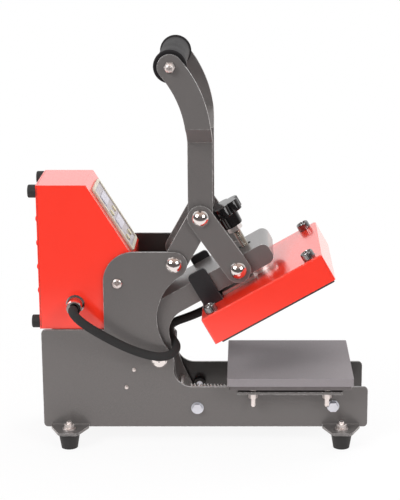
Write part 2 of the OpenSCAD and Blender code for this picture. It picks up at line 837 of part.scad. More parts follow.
// Circuit board behind the key panel, on four posts that stand on the slope
module controller_board() {
    post = board_drop - sheet_t;
    x0 = bezel_at + bezel_rim;
    color([0.10, 0.35, 0.18]) on_slope() difference() {
        union() {
            translate([x0 - 2, -panel_w / 2 - 2, -board_drop - 1.6]) cube([panel_l + 4, panel_w + 4, 1.6]);
            for (x = [x0 + 1.5, x0 + panel_l - 1.5])
                for (y = [-panel_w / 2 + 1.5, panel_w / 2 - 1.5])
                    translate([x, y, -board_drop - eps]) cylinder(r = 2, h = post);
            translate([x0 + 20, -16, -board_drop - 15]) cube([26, 32, 14]);
            translate([x0 + 52, -12, -board_drop - 11]) cube([12, 24, 10]);
        }
        for (y = [-18, 18]) translate([x0 + 12, y, -board_drop - 3]) cylinder(r = 1.6, h = 4);
    }
}

module solid_state_relay() {
    at = [x_rear + 70, box_bottom + sheet_t];
    color([0.15, 0.15, 0.16]) {
        translate([at[0], -22, at[1]]) cube([30, 44, 3]);
        translate([at[0] + 2, -20, at[1] + 3 - eps]) cube([26, 40, 22]);
        for (y = [-13, 13]) translate([at[0] + 15, y, at[1] + 25 - eps]) cylinder(r = 4, h = 3, $fn = 6);
    }
}

// Mains inlet with its three blades, and the frame of the rocker switch above it
module power_inlet() {
    cavity_depth = 15;
    blade_l = 8;
    socket_low = inlet_at[1] - inlet_h / 2 + 4.5;
    rocker_low = inlet_at[1] + inlet_h / 2 - rocker_l - 4;
    body_y = box_y - inlet_depth;
    color([0.10, 0.10, 0.10]) {
        difference() {
            union() {
                translate([inlet_at[0] - inlet_w / 2, box_y, inlet_at[1] - inlet_h / 2]) cube([inlet_w, inlet_t, inlet_h]);
                translate([inlet_at[0] - inlet_w / 2 + 2.2, body_y, inlet_at[1] - inlet_h / 2 + 2.2])
                    cube([inlet_w - 4.4, inlet_depth + eps, inlet_h - 4.4]);
            }
            translate([inlet_at[0] - 11, box_y + inlet_t - cavity_depth, socket_low]) cube([22, cavity_depth + 1, 16]);
            translate([inlet_at[0] - rocker_w / 2 - 0.4, box_y + inlet_t - 14, rocker_low - 0.4])
                cube([rocker_w + 0.8, 15, rocker_l + 0.8]);
            translate([inlet_at[0] - rocker_w / 2 - 2.4, rocker_at[0], rocker_at[1]]) rotate([0, 90, 0])
                cylinder(r = 1.5 + 0.1, h = rocker_w + 4.8);
        }
        for (x = [-7, 0, 7])
            translate([inlet_at[0] + x - 1, box_y + inlet_t - cavity_depth - eps, socket_low + (x == 0 ? 9 : 4)])
                cube([2, blade_l, 4]);
    }
}

// Pivot of the rocker in Y and Z
rocker_at = [box_y + inlet_t - 6, inlet_at[1] + inlet_h / 2 - rocker_l / 2 - 4];

module rocker_switch() {
    half = rocker_l / 2;
    tilt = tan(rocker_tilt);
    color([0.70, 0.08, 0.06]) translate([inlet_at[0], rocker_at[0], rocker_at[1]]) {
        rotate([rocker_tilt, 0, 0]) along_x(-rocker_w / 2, rocker_w / 2)
            polygon([[-4, -4], [4, -half + 1], [6.5 + half * tilt, -half + 0.9], [6.5, 0],
                [6.5 + half * tilt, half - 0.9], [4, half - 1], [-4, 4]]);
        translate([-rocker_w / 2 - 2.2, 0, 0]) rotate([0, 90, 0]) cylinder(r = 1.5, h = rocker_w + 4.4);
    }
}

// Round socket on the near side of the control box
module heater_socket() {
    color([0.80, 0.79, 0.78]) {
        translate([socket_at[0], -box_y, socket_at[1]]) rotate([90, 0, 0]) ring(socket_r, plug_d / 2 - 3, socket_flange_t);
        translate([socket_at[0], -box_y - socket_flange_t + eps, socket_at[1]]) rotate([-90, 0, 0])
            ring(plug_d / 2 - 1.5, plug_d / 2 - 3, socket_flange_t + sheet_t + 6);
        translate([socket_at[0], -box_y + sheet_t + 4, socket_at[1]]) rotate([-90, 0, 0]) cylinder(r = plug_d / 2 - 3 + eps, h = 3);
    }
}

plug_y = -box_y - socket_flange_t;

module heater_plug() {
    r = plug_d / 2;
    color([0.80, 0.79, 0.78]) translate([socket_at[0], plug_y, socket_at[1]]) rotate([90, 0, 0]) difference() {
        union() {
            cylinder(r = r, h = plug_l * 0.45);
            translate([0, 0, plug_l * 0.45 - eps]) cylinder(r = r - 1, h = plug_l * 0.12);
            translate([0, 0, plug_l * 0.55]) cylinder(r = r - 0.2, h = plug_l * 0.35);
            translate([0, 0, plug_l * 0.9 - eps]) cylinder(r1 = r - 0.2, r2 = r - 1.2, h = plug_l * 0.1 + eps);
        }
        translate([0, 0, plug_l - 3]) cylinder(d = cable_d + 1.6, h = 4);
    }
}

// Middle line of the heater cable: out of the plug, round the front edges of the tower and into the head
cable_route = [
    [-148, -71, 173.4], [-148, -77, 172.8], [-145, -81.5, 169], [-138.5, -82.2, 162.5], [-128, -79.5, 153.5],
    [-112.5, -74.5, 142], [-95, -69.5, 130.5], [-78, -66, 121.5], [-62, -64, 115.5], [-49, -62.5, 112.8],
    [-39.8, -60.2, 113], [-33, -54.6, 114.8], [-29.6, -46, 117], [-29.8, -37, 119.4], [-33.2, -28.5, 122.2],
    [-37.4, -20.5, 125.6], [-39.2, -12.5, 129.8], [-37.4, -4.9, 134], [-31, -0.8, 137.6], [-19, 0, 142],
    [-7.5, 0, 146.6], [4.05, 0, 152.15]
];

// Tube of radius r along the points p, with n sides, as one closed skin
function unit(v) = v / norm(v);
function heading(p, i) = unit(p[min(i + 1, len(p) - 1)] - p[max(i - 1, 0)]);
function across(v, t) = unit(v - (v * t) * t);
function normals(p, start) = [
    for (i = 0, v = across(start, heading(p, 0)); i < len(p);
        i = i + 1, v = i < len(p) ? across(v, heading(p, i)) : v) v
];
function tube_skin(p, r, n, start) =
    let (v = normals(p, start))
    [for (i = [0:len(p) - 1])
        for (k = [0:n - 1])
            let (a = 360 * k / n, w = cross(heading(p, i), v[i]))
            p[i] + r * (cos(a) * v[i] + sin(a) * w)];
function tube_faces(count, n) = concat(
    [for (k = [1:n - 2]) [0, k, k + 1]],
    [for (i = [0:count - 2])
        for (k = [0:n - 1])
            let (a = i * n + k, b = i * n + (k + 1) % n)
            for (face = [[a, a + n, b], [b, a + n, b + n]]) face],
    [for (k = [1:n - 2]) [(count - 1) * n, (count - 1) * n + k + 1, (count - 1) * n + k]]
);

module tube(p, r, n, start) {
    polyhedron(points = tube_skin(p, r, n, start), faces = tube_faces(len(p), n));
}

module heater_cable() {
    color([0.10, 0.10, 0.10]) tube(cable_route, cable_d / 2, 10, [0, 0, 1]);
}

// Shafts and caps

module arm_pivot_shaft() {
    color([0.72, 0.72, 0.74]) bar(arm_pivot, shaft_r, -outer_y, outer_y);
}

// The thick middle keeps the legs of the lever apart
module lever_pivot_shaft() {
    color([0.72, 0.72, 0.74]) {
        bar(lever_pivot, shaft_r, -outer_y, outer_y);
        bar(lever_pivot, shaft_r + 3, -lever_in + side_gap, lever_in - side_gap);
    }
}

module cap_at(p, y) {
    translate([p[0], -y, p[1]]) rotate([90, 0, 0]) dome(cap_d, cap_h);
}

module pivot_caps() {
    color([0.80, 0.79, 0.78]) both_sides() {
        cap_at(arm_pivot, outer_y);
        cap_at(lever_pivot, outer_y);
    }
}

// Return spring: a hook round the tail bar, the coil, a straight leg and a hook round the front rod
spring_dir = unit(front_rod_at - tail_pin);
spring_span = norm(front_rod_at - tail_pin);
coil_r = (spring_d - wire_d) / 2;
wire_r = wire_d / 2;
hook_r = tail_bar_d / 2 + wire_r + 0.4;
front_hook_r = front_rod_d / 2 + wire_r + 0.4;
turn_steps = 8;
hook_steps = 5;
coil_from = hook_r + 3;
coil_l = spring_pitch * spring_turns;
coil_count = spring_turns * turn_steps;
// Points in the spring's own frame: x along the spring, y across the press, z up
coil = [for (i = [0:coil_count])
    let (a = 360 * i / turn_steps, ramp = min(1, i / 3, (coil_count - i) / 3))
    [coil_from + coil_l * i / coil_count, coil_r * ramp * sin(a), coil_r * ramp * cos(a)]];
spring_line = concat(
    [for (i = [0:hook_steps]) let (a = 200 - 170 * i / hook_steps) [hook_r * cos(a), 0, hook_r * sin(a)]],
    [[hook_r + 1, 0, 0.8]],
    coil,
    [[spring_span - front_hook_r - 1, 0, 0.8]],
    [for (i = [0:hook_steps]) let (a = 150 - 170 * i / hook_steps)
        [spring_span + front_hook_r * cos(a), 0, front_hook_r * sin(a)]]
);
function spring_place(q) = [
    tail_pin[0] + q[0] * spring_dir[0] - q[2] * spring_dir[1],
    q[1],
    tail_pin[1] + q[0] * spring_dir[1] + q[2] * spring_dir[0]
];
spring_points = [for (q = spring_line) spring_place(q)];
spring_gap = min([for (i = [0:len(coil) - 1])
    for (j = [i + turn_steps - 2:1:min(i + turn_steps + 2, len(coil) - 1)])
        norm(coil[j] - coil[i]) - wire_d]);
echo(least_gap_of_the_spring_to_itself = spring_gap);

module return_spring() {
    color([0.75, 0.75, 0.77]) tube(spring_points, wire_r, 6, [0, 1, 0]);
}

// Lever

module lever_shape() {
    half = lever_w / 2;
    leg = toggle_pin - lever_pivot;
    side = half * [-leg[1], leg[0]] / norm(leg);
    translate(lever_pivot) circle(r = half);
    translate(toggle_pin) circle(r = half);
    polygon([lever_pivot + side, lever_pivot - side, toggle_pin - side, toggle_pin + side]);
    translate([toggle_pin[0] - half, toggle_pin[1]]) square([lever_w, curve_start + eps]);
    translate(curve_c) intersection() {
        difference() {
            circle(r = curve_r + half, $fn = 192);
            circle(r = curve_r - half, $fn = 192);
        }
        polygon([[0, 0], [400, 0], [400, 400 * tan(curve_angle)]]);
    }
    translate(grip_at) circle(r = half);
}

// Height profile of a near lever plate in Y and Z: straight, leaning outward, straight
module lever_profile() {
    lean = atan((flare_out - lever_out) / flare_h);
    lift = lever_t * tan(lean / 2);
    low = lever_pivot[1] - lever_w;
    high = grip_at[1] + lever_w;
    polygon([
        [-lever_out, low], [-lever_out, flare_z], [-flare_out, flare_z + flare_h], [-flare_out, high],
        [-flare_in, high], [-flare_in, flare_z + flare_h + lift], [-lever_in, flare_z + lift], [-lever_in, low]
    ]);
}

module lever_plate() {
    difference() {
        intersection() {
            slab(-flare_out - 1, 0) lever_shape();
            along_x(-300, 300) lever_profile();
        }
        bar(lever_pivot, shaft_r + run_gap, -outer_y, 0);
        bar(toggle_pin, toggle_pin_d / 2 + press_gap, -outer_y, 0);
        bar(grip_at, grip_screw_d / 2 + seat_gap, -flare_out - 1, 0);
    }
}

module lever_plate_left() { color([0.42, 0.40, 0.39]) lever_plate(); }

module lever_plate_right() { color([0.42, 0.40, 0.39]) mirror([0, 1, 0]) lever_plate(); }

module grip_rod() {
    color([0.72, 0.72, 0.74]) difference() {
        bar(grip_at, grip_rod_d / 2, -flare_in, flare_in);
        for (y = [-flare_in - 1, flare_in - 24]) bar(grip_at, grip_screw_d / 2 + seat_gap, y, y + 25);
    }
}

module handle_grip() {
    reach = flare_in - 0.3;
    edge = 1.5;
    r = grip_d / 2;
    flange_r = grip_flange_d / 2;
    color([0.09, 0.09, 0.09]) place(grip_at) rotate([-90, 0, 0]) rotate_extrude($fn = 72) polygon([
        [grip_rod_d / 2 + seat_gap, -reach], [flange_r - edge, -reach], [flange_r, -reach + edge],
        [flange_r, -reach + grip_flange_t - edge], [flange_r - edge, -reach + grip_flange_t],
        [r, -reach + grip_flange_t + 1], [r, reach - grip_flange_t - 1], [flange_r - edge, reach - grip_flange_t],
        [flange_r, reach - grip_flange_t + edge], [flange_r, reach - edge], [flange_r - edge, reach],
        [grip_rod_d / 2 + seat_gap, reach]
    ]);
}

// Socket-head screws into the ends of the grip rod
module grip_screws() {
    color([0.78, 0.76, 0.76]) both_sides() difference() {
        union() {
            bar(grip_at, grip_screw_d * 0.82, -flare_out - 8, -flare_out);
            bar(grip_at, grip_screw_d / 2, -flare_out - eps, -flare_in + 20);
        }
        translate([grip_at[0], -flare_out - 4, grip_at[1]]) rotate([90, 0, 0]) cylinder(r = grip_screw_d * 0.42, h = 5, $fn = 6);
    }
}

// Pin through each leg of the lever and its link, headed inside and capped outside
module toggle_pins() {
    r = toggle_pin_d / 2;
    color([0.80, 0.79, 0.78]) both_sides() {
        bar(toggle_pin, r + 3, -lever_in, -lever_in + 4);
        bar(toggle_pin, r, -link_out - 0.4, -lever_in + eps);
        cap_at(toggle_pin, link_out + 0.3);
    }
}

// Link

module link_shape() {
    half = link_w / 2;
    run = link_pin - toggle_pin;
    side = half * [-run[1], run[0]] / norm(run);
    translate(toggle_pin) circle(r = half);
    translate(link_pin) circle(r = half);
    polygon([toggle_pin + side, toggle_pin - side, link_pin - side, link_pin + side]);
}

module link() {
    difference() {
        slab(-link_out, -link_in) link_shape();
        bar(toggle_pin, toggle_pin_d / 2 + run_gap, -link_out - 1, 0);
        bar(link_pin, link_pin_d / 2 + press_gap, -link_out - 1, 0);
    }
}

module link_left() { color([0.42, 0.40, 0.39]) link(); }

module link_right() { color([0.42, 0.40, 0.39]) mirror([0, 1, 0]) link(); }

module link_pins() {
    color([0.80, 0.79, 0.78]) both_sides() {
        bar(link_pin, link_pin_d / 2, -link_out - eps, -arm_in - 0.3);
        cap_at(link_pin, link_out);
    }
}

// Sleeves on the link pins between the links and the arm
module link_spacers() {
    color([0.72, 0.72, 0.74]) both_sides() difference() {
        bar(link_pin, 12, -link_in, -arm_out - 0.3);
        bar(link_pin, link_pin_d / 2 + press_gap, -link_in - 1, 0);
    }
}

// Arm, in its own frame: x along the arm, z across it, the pivot at the origin

// Points where the rear edge, outside two circles, touches the first and the second
function outer_touch(c1, r1, c2, r2) =
    let (d = c2 - c1, a = atan2(d[1], d[0]) + acos((r1 - r2) / norm(d)), n = [cos(a), sin(a)])
    [c1 + r1 * n, c2 + r2 * n];

function arc(c, r, from, to, n) = [for (i = [0:n])
    let (a = from + (to - from) * i / n) c + r * [cos(a), sin(a)]];

module arm_shape() {
    low = arm_top - arm_depth;
    bend_c = [arm_bend_r - arm_leg_x + 5, arm_top - arm_bend_r];
    tail_c = [tail_x, -tail_l];
    touch = outer_touch(tail_c, tail_r, bend_c, arm_bend_r);
    off_touch = touch[1] - bend_c;
    lean = atan2(off_touch[1], off_touch[0]);
    inner_c = [arm_leg_x + arm_inner_r, low - arm_inner_r];
    end_x = arm_end - arm_end_r;
    polygon(concat(
        arc(tail_c, tail_r, lean, 0, 14),
        [[arm_leg_x - 19, -46], [arm_leg_x - 16, -28], [arm_leg_x - 9.5, -13], [arm_leg_x - 4.1, 4]],
        arc(inner_c, arm_inner_r, 172.5, 90, 24),
        arc([end_x, low + arm_end_r], arm_end_r, -90, 0, 8),
        arc([end_x, arm_top - arm_end_r], arm_end_r, 0, 90, 8),
        arc(bend_c, arm_bend_r, 90, lean + 360, 36)
    ));
}

module arm_plate() {
    in_arm() difference() {
        slab(-arm_out, -arm_in) arm_shape();
        bar([0, 0], bush_d / 2 + press_gap, -arm_out - 1, 0);
        bar([link_pin_x, link_pin_z], slack_hole_d / 2, -arm_out - 1, 0);
        bar([tail_bar_x, -tail_bar_l], tail_bar_d / 2 - 1 + press_gap, -arm_out - 1, 0);
    }
}

module arm_plate_left() { color([0.42, 0.40, 0.39]) arm_plate(); }

module arm_plate_right() { color([0.42, 0.40, 0.39]) mirror([0, 1, 0]) arm_plate(); }

// Bent strip that closes the arm over its rear bend, its top and its front end
module arm_front_cover() {
    low = arm_top - arm_depth + 6;
    t = 2;
    bend_c = [arm_bend_r - arm_leg_x + 5, arm_top - arm_bend_r];
    end_c = [arm_end - arm_end_r, arm_top - arm_end_r];
    color([0.42, 0.40, 0.39]) in_arm() difference() {
        slab(-arm_in, arm_in) polygon(concat(
            arc(bend_c, arm_bend_r, 162, 90, 30),
            arc(end_c, arm_end_r, 90, 0, 8),
            [[arm_end, low], [arm_end - t, low]],
            arc(end_c, arm_end_r - t, 0, 90, 8),
            arc(bend_c, arm_bend_r - t, 90, 162, 30)
        ));
        translate([screw_x, 0, low]) cylinder(r = screw_d / 2 + 3, h = arm_depth);
    }
}

module nut_bar() {
    high = arm_top - 3;
    color([0.35, 0.34, 0.34]) in_arm() difference() {
        translate([screw_x - nut_bar_l / 2, -arm_in, high - nut_bar_h]) cube([nut_bar_l, 2 * arm_in, nut_bar_h]);
        translate([screw_x, 0, high - nut_bar_h - 1]) cylinder(r = screw_d / 2 + screw_gap, h = nut_bar_h + 2);
    }
}

// Bar between the tails, with ends that pass through the arm plates
module tail_bar() {
    color([0.72, 0.72, 0.74]) in_arm() {
        bar([tail_bar_x, -tail_bar_l], tail_bar_d / 2, -arm_in, arm_in);
        bar([tail_bar_x, -tail_bar_l], tail_bar_d / 2 - 1, -arm_out, arm_out);
    }
}

module arm_bushes() {
    color([0.72, 0.58, 0.32]) in_arm() both_sides() difference() {
        union() {
            bar([0, 0], bush_d / 2, -arm_out - eps, -arm_in + 5);
            bar([0, 0], bush_flange_d / 2, -inner_y + 0.3, -arm_out);
        }
        bar([0, 0], shaft_r + run_gap, -outer_y, 0);
    }
}

// Head, in the frame of the arm

// Block with rounded vertical edges, centred at x
module head_block(x, l, w, z0, z1, r) {
    translate([x, 0, z0]) linear_extrude(z1 - z0) rounded([-l / 2, -w / 2], [l / 2, w / 2], r);
}

module at_cover_screws() {
    for (x = [-cover_screw_x, cover_screw_x])
        for (y = [-cover_screw_y, cover_screw_y])
            translate([cover_c + x, y, 0]) children();
}

module head_cover() {
    color([0.93, 0.20, 0.15]) in_arm() difference() {
        union() {
            head_block(cover_c, cover_l, cover_w, -cover_low, cover_top - 1.2, cover_r);
            head_block(cover_c, cover_l - 1.2, cover_w - 1.2, cover_top - 1.2 - eps, cover_top - 0.6, cover_r - 0.4);
            head_block(cover_c, cover_l - 2.8, cover_w - 2.8, cover_top - 0.6 - eps, cover_top, cover_r - 1);
        }
        head_block(cover_c, cover_l - 2 * sheet_t, cover_w - 2 * sheet_t, -cover_low - 1, cover_top - sheet_t, 1);
        at_cover_screws() cylinder(r = 3 + seat_gap, h = 60);
        translate([cover_x - 1, 0, cable_z]) rotate([0, 90, 0]) cylinder(r = cable_d / 2 + 0.8, h = sheet_t + 2);
    }
}

module head_insulation() {
    low = heater_t - heater_face;
    color([0.92, 0.88, 0.78]) in_arm() difference() {
        head_block(head_x, heater_size, heater_size, low, low + 8, 1);
        at_cover_screws() translate([0, 0, -20]) cylinder(r = 3.6, h = 60);
    }
}

module heater_platen() {
    color([0.13, 0.13, 0.14]) in_arm() difference() {
        head_block(head_x, heater_size, heater_size, -heater_face, heater_t - heater_face, 2);
        at_cover_screws() translate([0, 0, heater_t - heater_face - 6]) cylinder(r = 3 + seat_gap, h = 10);
    }
}

module cover_screws() {
    r = cover_screw_d / 2;
    color([0.10, 0.10, 0.10]) in_arm() at_cover_screws() {
        translate([0, 0, cover_top]) cylinder(r = r, h = cover_screw_h - 1);
        translate([0, 0, cover_top + cover_screw_h - 1 - eps]) cylinder(r1 = r, r2 = r - 1, h = 1);
        translate([0, 0, heater_t - heater_face - 5]) cylinder(r = 3, h = cover_top - heater_t + heater_face + 5 + eps);
    }
}

// Two ears that slide along the outside of the arm, joined by a strap on the cover
module guide_bracket() {
    x0 = cover_x + ear_x;
    color([0.12, 0.12, 0.12]) in_arm() {
        both_sides() slab(-ear_out, -ear_in) difference() {
            rounded([x0, cover_top - ear_r], [x0 + ear_l, cover_top + ear_h], ear_r);
            translate([x0 - 1, cover_top - ear_r - 1]) square([ear_l + 2, ear_r + 1]);
        }
        translate([x0, -ear_out, cover_top]) cube([ear_l, 2 * ear_out, 2.5]);
    }
}

// Knurled disc on its steel base, which takes the thrust of the pressure screw
module thrust_disc() {
    teeth = 60;
    base_x = cover_x + ear_x + ear_l + 1;
    color([0.70, 0.69, 0.69]) in_arm() difference() {
        union() {
            translate([base_x, -guide_w / 2, cover_top]) cube([screw_x - 6 - base_x, guide_w, guide_t]);
            translate([screw_x, 0, cover_top]) cylinder(d = disc_d - 5, h = guide_t + eps);
            translate([screw_x, 0, guide_top]) cylinder(d = disc_d, h = disc_t, $fn = 96);
        }
        translate([screw_x, 0, guide_top - 1]) cylinder(r = screw_d / 2 + screw_gap, h = disc_t + 5);
        for (i = [0:teeth - 1])
            translate([screw_x, 0, guide_top + 0.6]) rotate([0, 0, 360 * i / teeth])
                translate([disc_d / 2 + 0.5, 0, 0]) rotate([0, 0, 45]) translate([-0.7, -0.7, 0]) cube([1.4, 1.4, disc_t]);
    }
}

module cable_gland() {
    r = cable_d / 2;
    color([0.10, 0.10, 0.10]) in_arm() translate([cover_x, 0, cable_z]) rotate([0, 90, 0]) {
        translate([0, 0, -3.5]) cylinder(r1 = r + 0.3, r2 = r + 2, h = 3.5);
        translate([0, 0, -eps]) cylinder(r = r + 0.7, h = sheet_t + 4);
    }
}

// Pressure screw, with the collar that bears on the thrust disc
module pressure_screw() {
    low = guide_top + 0.3 - 1;
    color([0.72, 0.72, 0.74]) in_arm() translate([screw_x, 0, 0]) {
        translate([0, 0, low + 0.2]) cylinder(d = screw_d, h = knob_z + knob_h * 0.6 - low);
        translate([0, 0, guide_top + disc_t + 0.3]) cylinder(d = screw_d + 5, h = 2);
    }
}

module pressure_knob() {
    hub_r = 10.5;
    foot_r = 12.4;
    skirt = knob_h * 0.56;
    lobe_r = 6.2;
    color([0.06, 0.06, 0.06]) in_arm() translate([screw_x, 0, knob_z]) difference() {
        union() {
            cylinder(r = hub_r, h = knob_h - 1);
            cylinder(r = foot_r, h = skirt + 1);
            for (i = [0:knob_lobes - 1]) rotate([0, 0, 360 * (i + 0.5) / knob_lobes]) {
                translate([knob_r - lobe_r, 0, skirt]) cylinder(r = lobe_r, h = knob_h - skirt - 2);
                translate([knob_r - lobe_r, 0, knob_h - 2 - eps]) cylinder(r1 = lobe_r, r2 = lobe_r - 2, h = 2);
                translate([0, -lobe_r * 0.8, skirt + 2]) cube([knob_r - lobe_r, lobe_r * 1.6, knob_h - skirt - 3]);
            }
            translate([0, 0, knob_h - 1 - eps]) cylinder(r1 = hub_r, r2 = hub_r - 2, h = 1.6);
        }
        translate([0, 0, -1]) cylinder(r = screw_d / 2 + press_gap, h = knob_h * 0.6 + 1.4);
    }
}

module lock_nut() {
    color([0.78, 0.76, 0.76]) in_arm() translate([screw_x, 0, knob_z - lock_nut_h])
        hex_nut(lock_nut_w, lock_nut_h - press_gap, screw_d / 2 + press_gap);
}

side_plate_left();
side_plate_right();
rear_cross_brace();
front_rod();
frame_bolts();
stop_sleeves();
silicone_pad();
platen_plate();
platen_studs();
platen_nuts();
rubber_feet();
foot_bolts();
control_housing();
housing_screws();
rear_panel();
rear_bumpers();
control_bezel();
key_panel();
display_windows();
controller_board();
solid_state_relay();
power_inlet();
heater_socket();
heater_plug();
heater_cable();
arm_pivot_shaft();
lever_pivot_shaft();
pivot_caps();
return_spring();
key_temp_up();
key_temp_down();
key_time_up();
key_time_down();
rocker_switch();
lever_plate_left();
lever_plate_right();
grip_rod();
handle_grip();
grip_screws();
toggle_pins();
link_left();
link_right();
link_pins();
link_spacers();
arm_plate_left();
arm_plate_right();
arm_front_cover();
nut_bar();
tail_bar();
arm_bushes();
head_cover();
head_insulation();
heater_platen();
cover_screws();
guide_bracket();
thrust_disc();
cable_gland();
pressure_screw();
pressure_knob();
lock_nut();
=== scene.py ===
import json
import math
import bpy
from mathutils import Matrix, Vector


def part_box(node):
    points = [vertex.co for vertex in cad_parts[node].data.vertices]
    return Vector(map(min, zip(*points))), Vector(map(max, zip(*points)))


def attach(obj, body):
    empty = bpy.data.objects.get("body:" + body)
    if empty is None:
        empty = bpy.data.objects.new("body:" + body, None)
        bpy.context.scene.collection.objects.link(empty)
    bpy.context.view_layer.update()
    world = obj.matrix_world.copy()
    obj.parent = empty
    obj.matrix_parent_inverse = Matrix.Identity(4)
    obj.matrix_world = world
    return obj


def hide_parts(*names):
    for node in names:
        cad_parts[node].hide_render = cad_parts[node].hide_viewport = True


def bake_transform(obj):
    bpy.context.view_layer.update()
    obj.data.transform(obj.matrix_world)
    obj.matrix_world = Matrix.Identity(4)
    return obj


bl_info = {
    "name": "Swing-arm heat press",
    "version": (1, 0, 0),
    "blender": (4, 5, 0),
    "location": "3D View > Sidebar > Heat Press",
    "description": "Finishes, heater cable, return spring and studio for a small toggle-lever heat press",
    "category": "Object",
}

import bpy
from mathutils import Matrix, Vector

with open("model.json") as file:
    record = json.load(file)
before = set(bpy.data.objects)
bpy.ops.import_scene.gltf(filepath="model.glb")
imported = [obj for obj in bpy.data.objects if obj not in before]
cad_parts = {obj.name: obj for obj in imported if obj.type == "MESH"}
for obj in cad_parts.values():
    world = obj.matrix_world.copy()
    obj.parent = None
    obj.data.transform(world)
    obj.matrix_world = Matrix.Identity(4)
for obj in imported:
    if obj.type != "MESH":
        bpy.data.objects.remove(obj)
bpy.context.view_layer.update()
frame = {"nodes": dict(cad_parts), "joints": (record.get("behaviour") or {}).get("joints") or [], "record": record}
NODES = frame["nodes"]
MM = 0.001

# Points of the heater cable, from the plug to the head, in metres
CABLE_ROUTE = [
    (-0.148, -0.071, 0.1734), (-0.148, -0.077, 0.1728), (-0.145, -0.0815, 0.169),
    (-0.1385, -0.0822, 0.1625), (-0.128, -0.0795, 0.1535), (-0.1125, -0.0745, 0.142),
    (-0.095, -0.0695, 0.1305), (-0.078, -0.066, 0.1215), (-0.062, -0.064, 0.1155),
    (-0.049, -0.0625, 0.1128), (-0.0398, -0.0602, 0.113), (-0.033, -0.0546, 0.1148),
    (-0.0296, -0.046, 0.117), (-0.0298, -0.037, 0.1194), (-0.0332, -0.0285, 0.1222),
    (-0.0374, -0.0205, 0.1256), (-0.0392, -0.0125, 0.1298), (-0.0374, -0.0049, 0.134),
    (-0.031, -0.0008, 0.1376), (-0.019, 0.0, 0.142), (-0.0075, 0.0, 0.1466),
    (0.00405, 0.0, 0.15215),
]

# Screws in the side plates, in millimetres: places along and up, and the size of the screw heads
HOUSING_SCREW = (-97.9, 198.8)
BRACE_RIVETS = ((-79.81, 91.85), (-89.19, 69.75))
SIDE_HEAD_RADIUS, SIDE_HEAD_HEIGHT = 6.0, 3.2

# Pressure screw on the open arm, in millimetres: its place along, and heights above the pivot
SCREW_ALONG = 152.6
THREAD_RADIUS, THREAD_PITCH, THREAD_DEPTH = 5.0, 1.5, 0.55
THREAD_LOW, THREAD_HIGH = 31.0, 108.0
KNOB_FOOT = 90

# Star knob, in millimetres: its lobes, the depth of their cuts in disc and hub, and where the disc starts
KNOB_LOBES, LOBE_FULLNESS = 6, 0.38
DISC_CUT, HUB_CUT = 5.4, 0.8
DISC_LOW = 16.0

# Cover screws on the open arm, in millimetres: middle of the head, reach from it and top of the cover
HEAD_ALONG = 154.0
COVER_SCREW_X, COVER_SCREW_Y = 65, 72
COVER_TOP = 27.2
KNURLED_RADIUS, KNURLED_HEIGHT = 7.75, 9.0

# Domed nuts at the ends of the grip, in millimetres
END_NUT_RADIUS, END_NUT_HEIGHT = 6.56, 8.0

# Return spring, in millimetres: pitch of its coils, and gap between a hook and its bar
SPRING_PITCH, HOOK_GAP = 4.1, 0.4

# Inner faces of the side plates, in metres from the middle; painted shade darkens the paint there
PLATE_INNER_FACE = 0.046

# Camera: place in metres, tilt in degrees and sideways shift
CAMERA_PLACE = (0.05492, -1.78310, 0.68676)
CAMERA_TILT = 75.547
CAMERA_SHIFT = -0.0933

# Colours of the room as shiny faces show it, and half the width of the floor in metres
WHITE = (1.0, 1.0, 1.0)
DIM_ROOM = (0.13, 0.115, 0.11)
BROWN_CEILING = (0.58, 0.44, 0.38)
DARK_FLOOR = (0.15, 0.125, 0.12)
FLOOR_REACH = 6.0

# Pieces whose paint carries painted shade on its inner faces, unlike the rest of their slot
INNER_SHADE_FINISH = {"side_plate_left": "frame_paint_painted_shade", "side_plate_right": "frame_paint_painted_shade"}

# Pieces with broken edges, and the least turn of an edge that is broken, in degrees
SOFTENED = {
    "side_plate_left": 38, "side_plate_right": 38, "lever_plate_left": 14, "lever_plate_right": 14,
    "link_left": 38, "link_right": 38, "arm_plate_left": 38, "arm_plate_right": 38, "control_housing": 38,
    "rear_panel": 38, "head_cover": 38, "guide_bracket": 38, "platen_plate": 38, "silicone_pad": 38,
    "nut_bar": 38, "control_bezel": 38, "frame_bolts": 38, "platen_nuts": 38, "foot_bolts": 38,
}

# Names of the materials made, by finish
MADE = {}

JOINTS = {joint["name"]: joint for joint in frame["joints"]}
SCREW_UP = -Vector(JOINTS["pressure_screw_turn"]["axis"]).normalized()
ARM_ALONG = Vector((SCREW_UP.z, 0, -SCREW_UP.x))


def on_arm(x, y, z):
    """Placement on the open arm: x along it and z away from the platen, from its pivot, in millimetres."""
    pivot = Vector(JOINTS["arm_pivot"]["pos_m"])
    at = pivot + ARM_ALONG * x * MM + Vector((0, y * MM, 0)) + SCREW_UP * z * MM
    turn = Matrix((ARM_ALONG, (0, 1, 0), SCREW_UP)).transposed().to_4x4()
    return Matrix.Translation(at) @ turn


def on_side(x, y, z):
    """Placement on a plate that faces the side of y, in millimetres."""
    turn = Matrix.Rotation(math.radians(90 if y < 0 else -90), 4, "X")
    return Matrix.Translation((x * MM, y * MM, z * MM)) @ turn


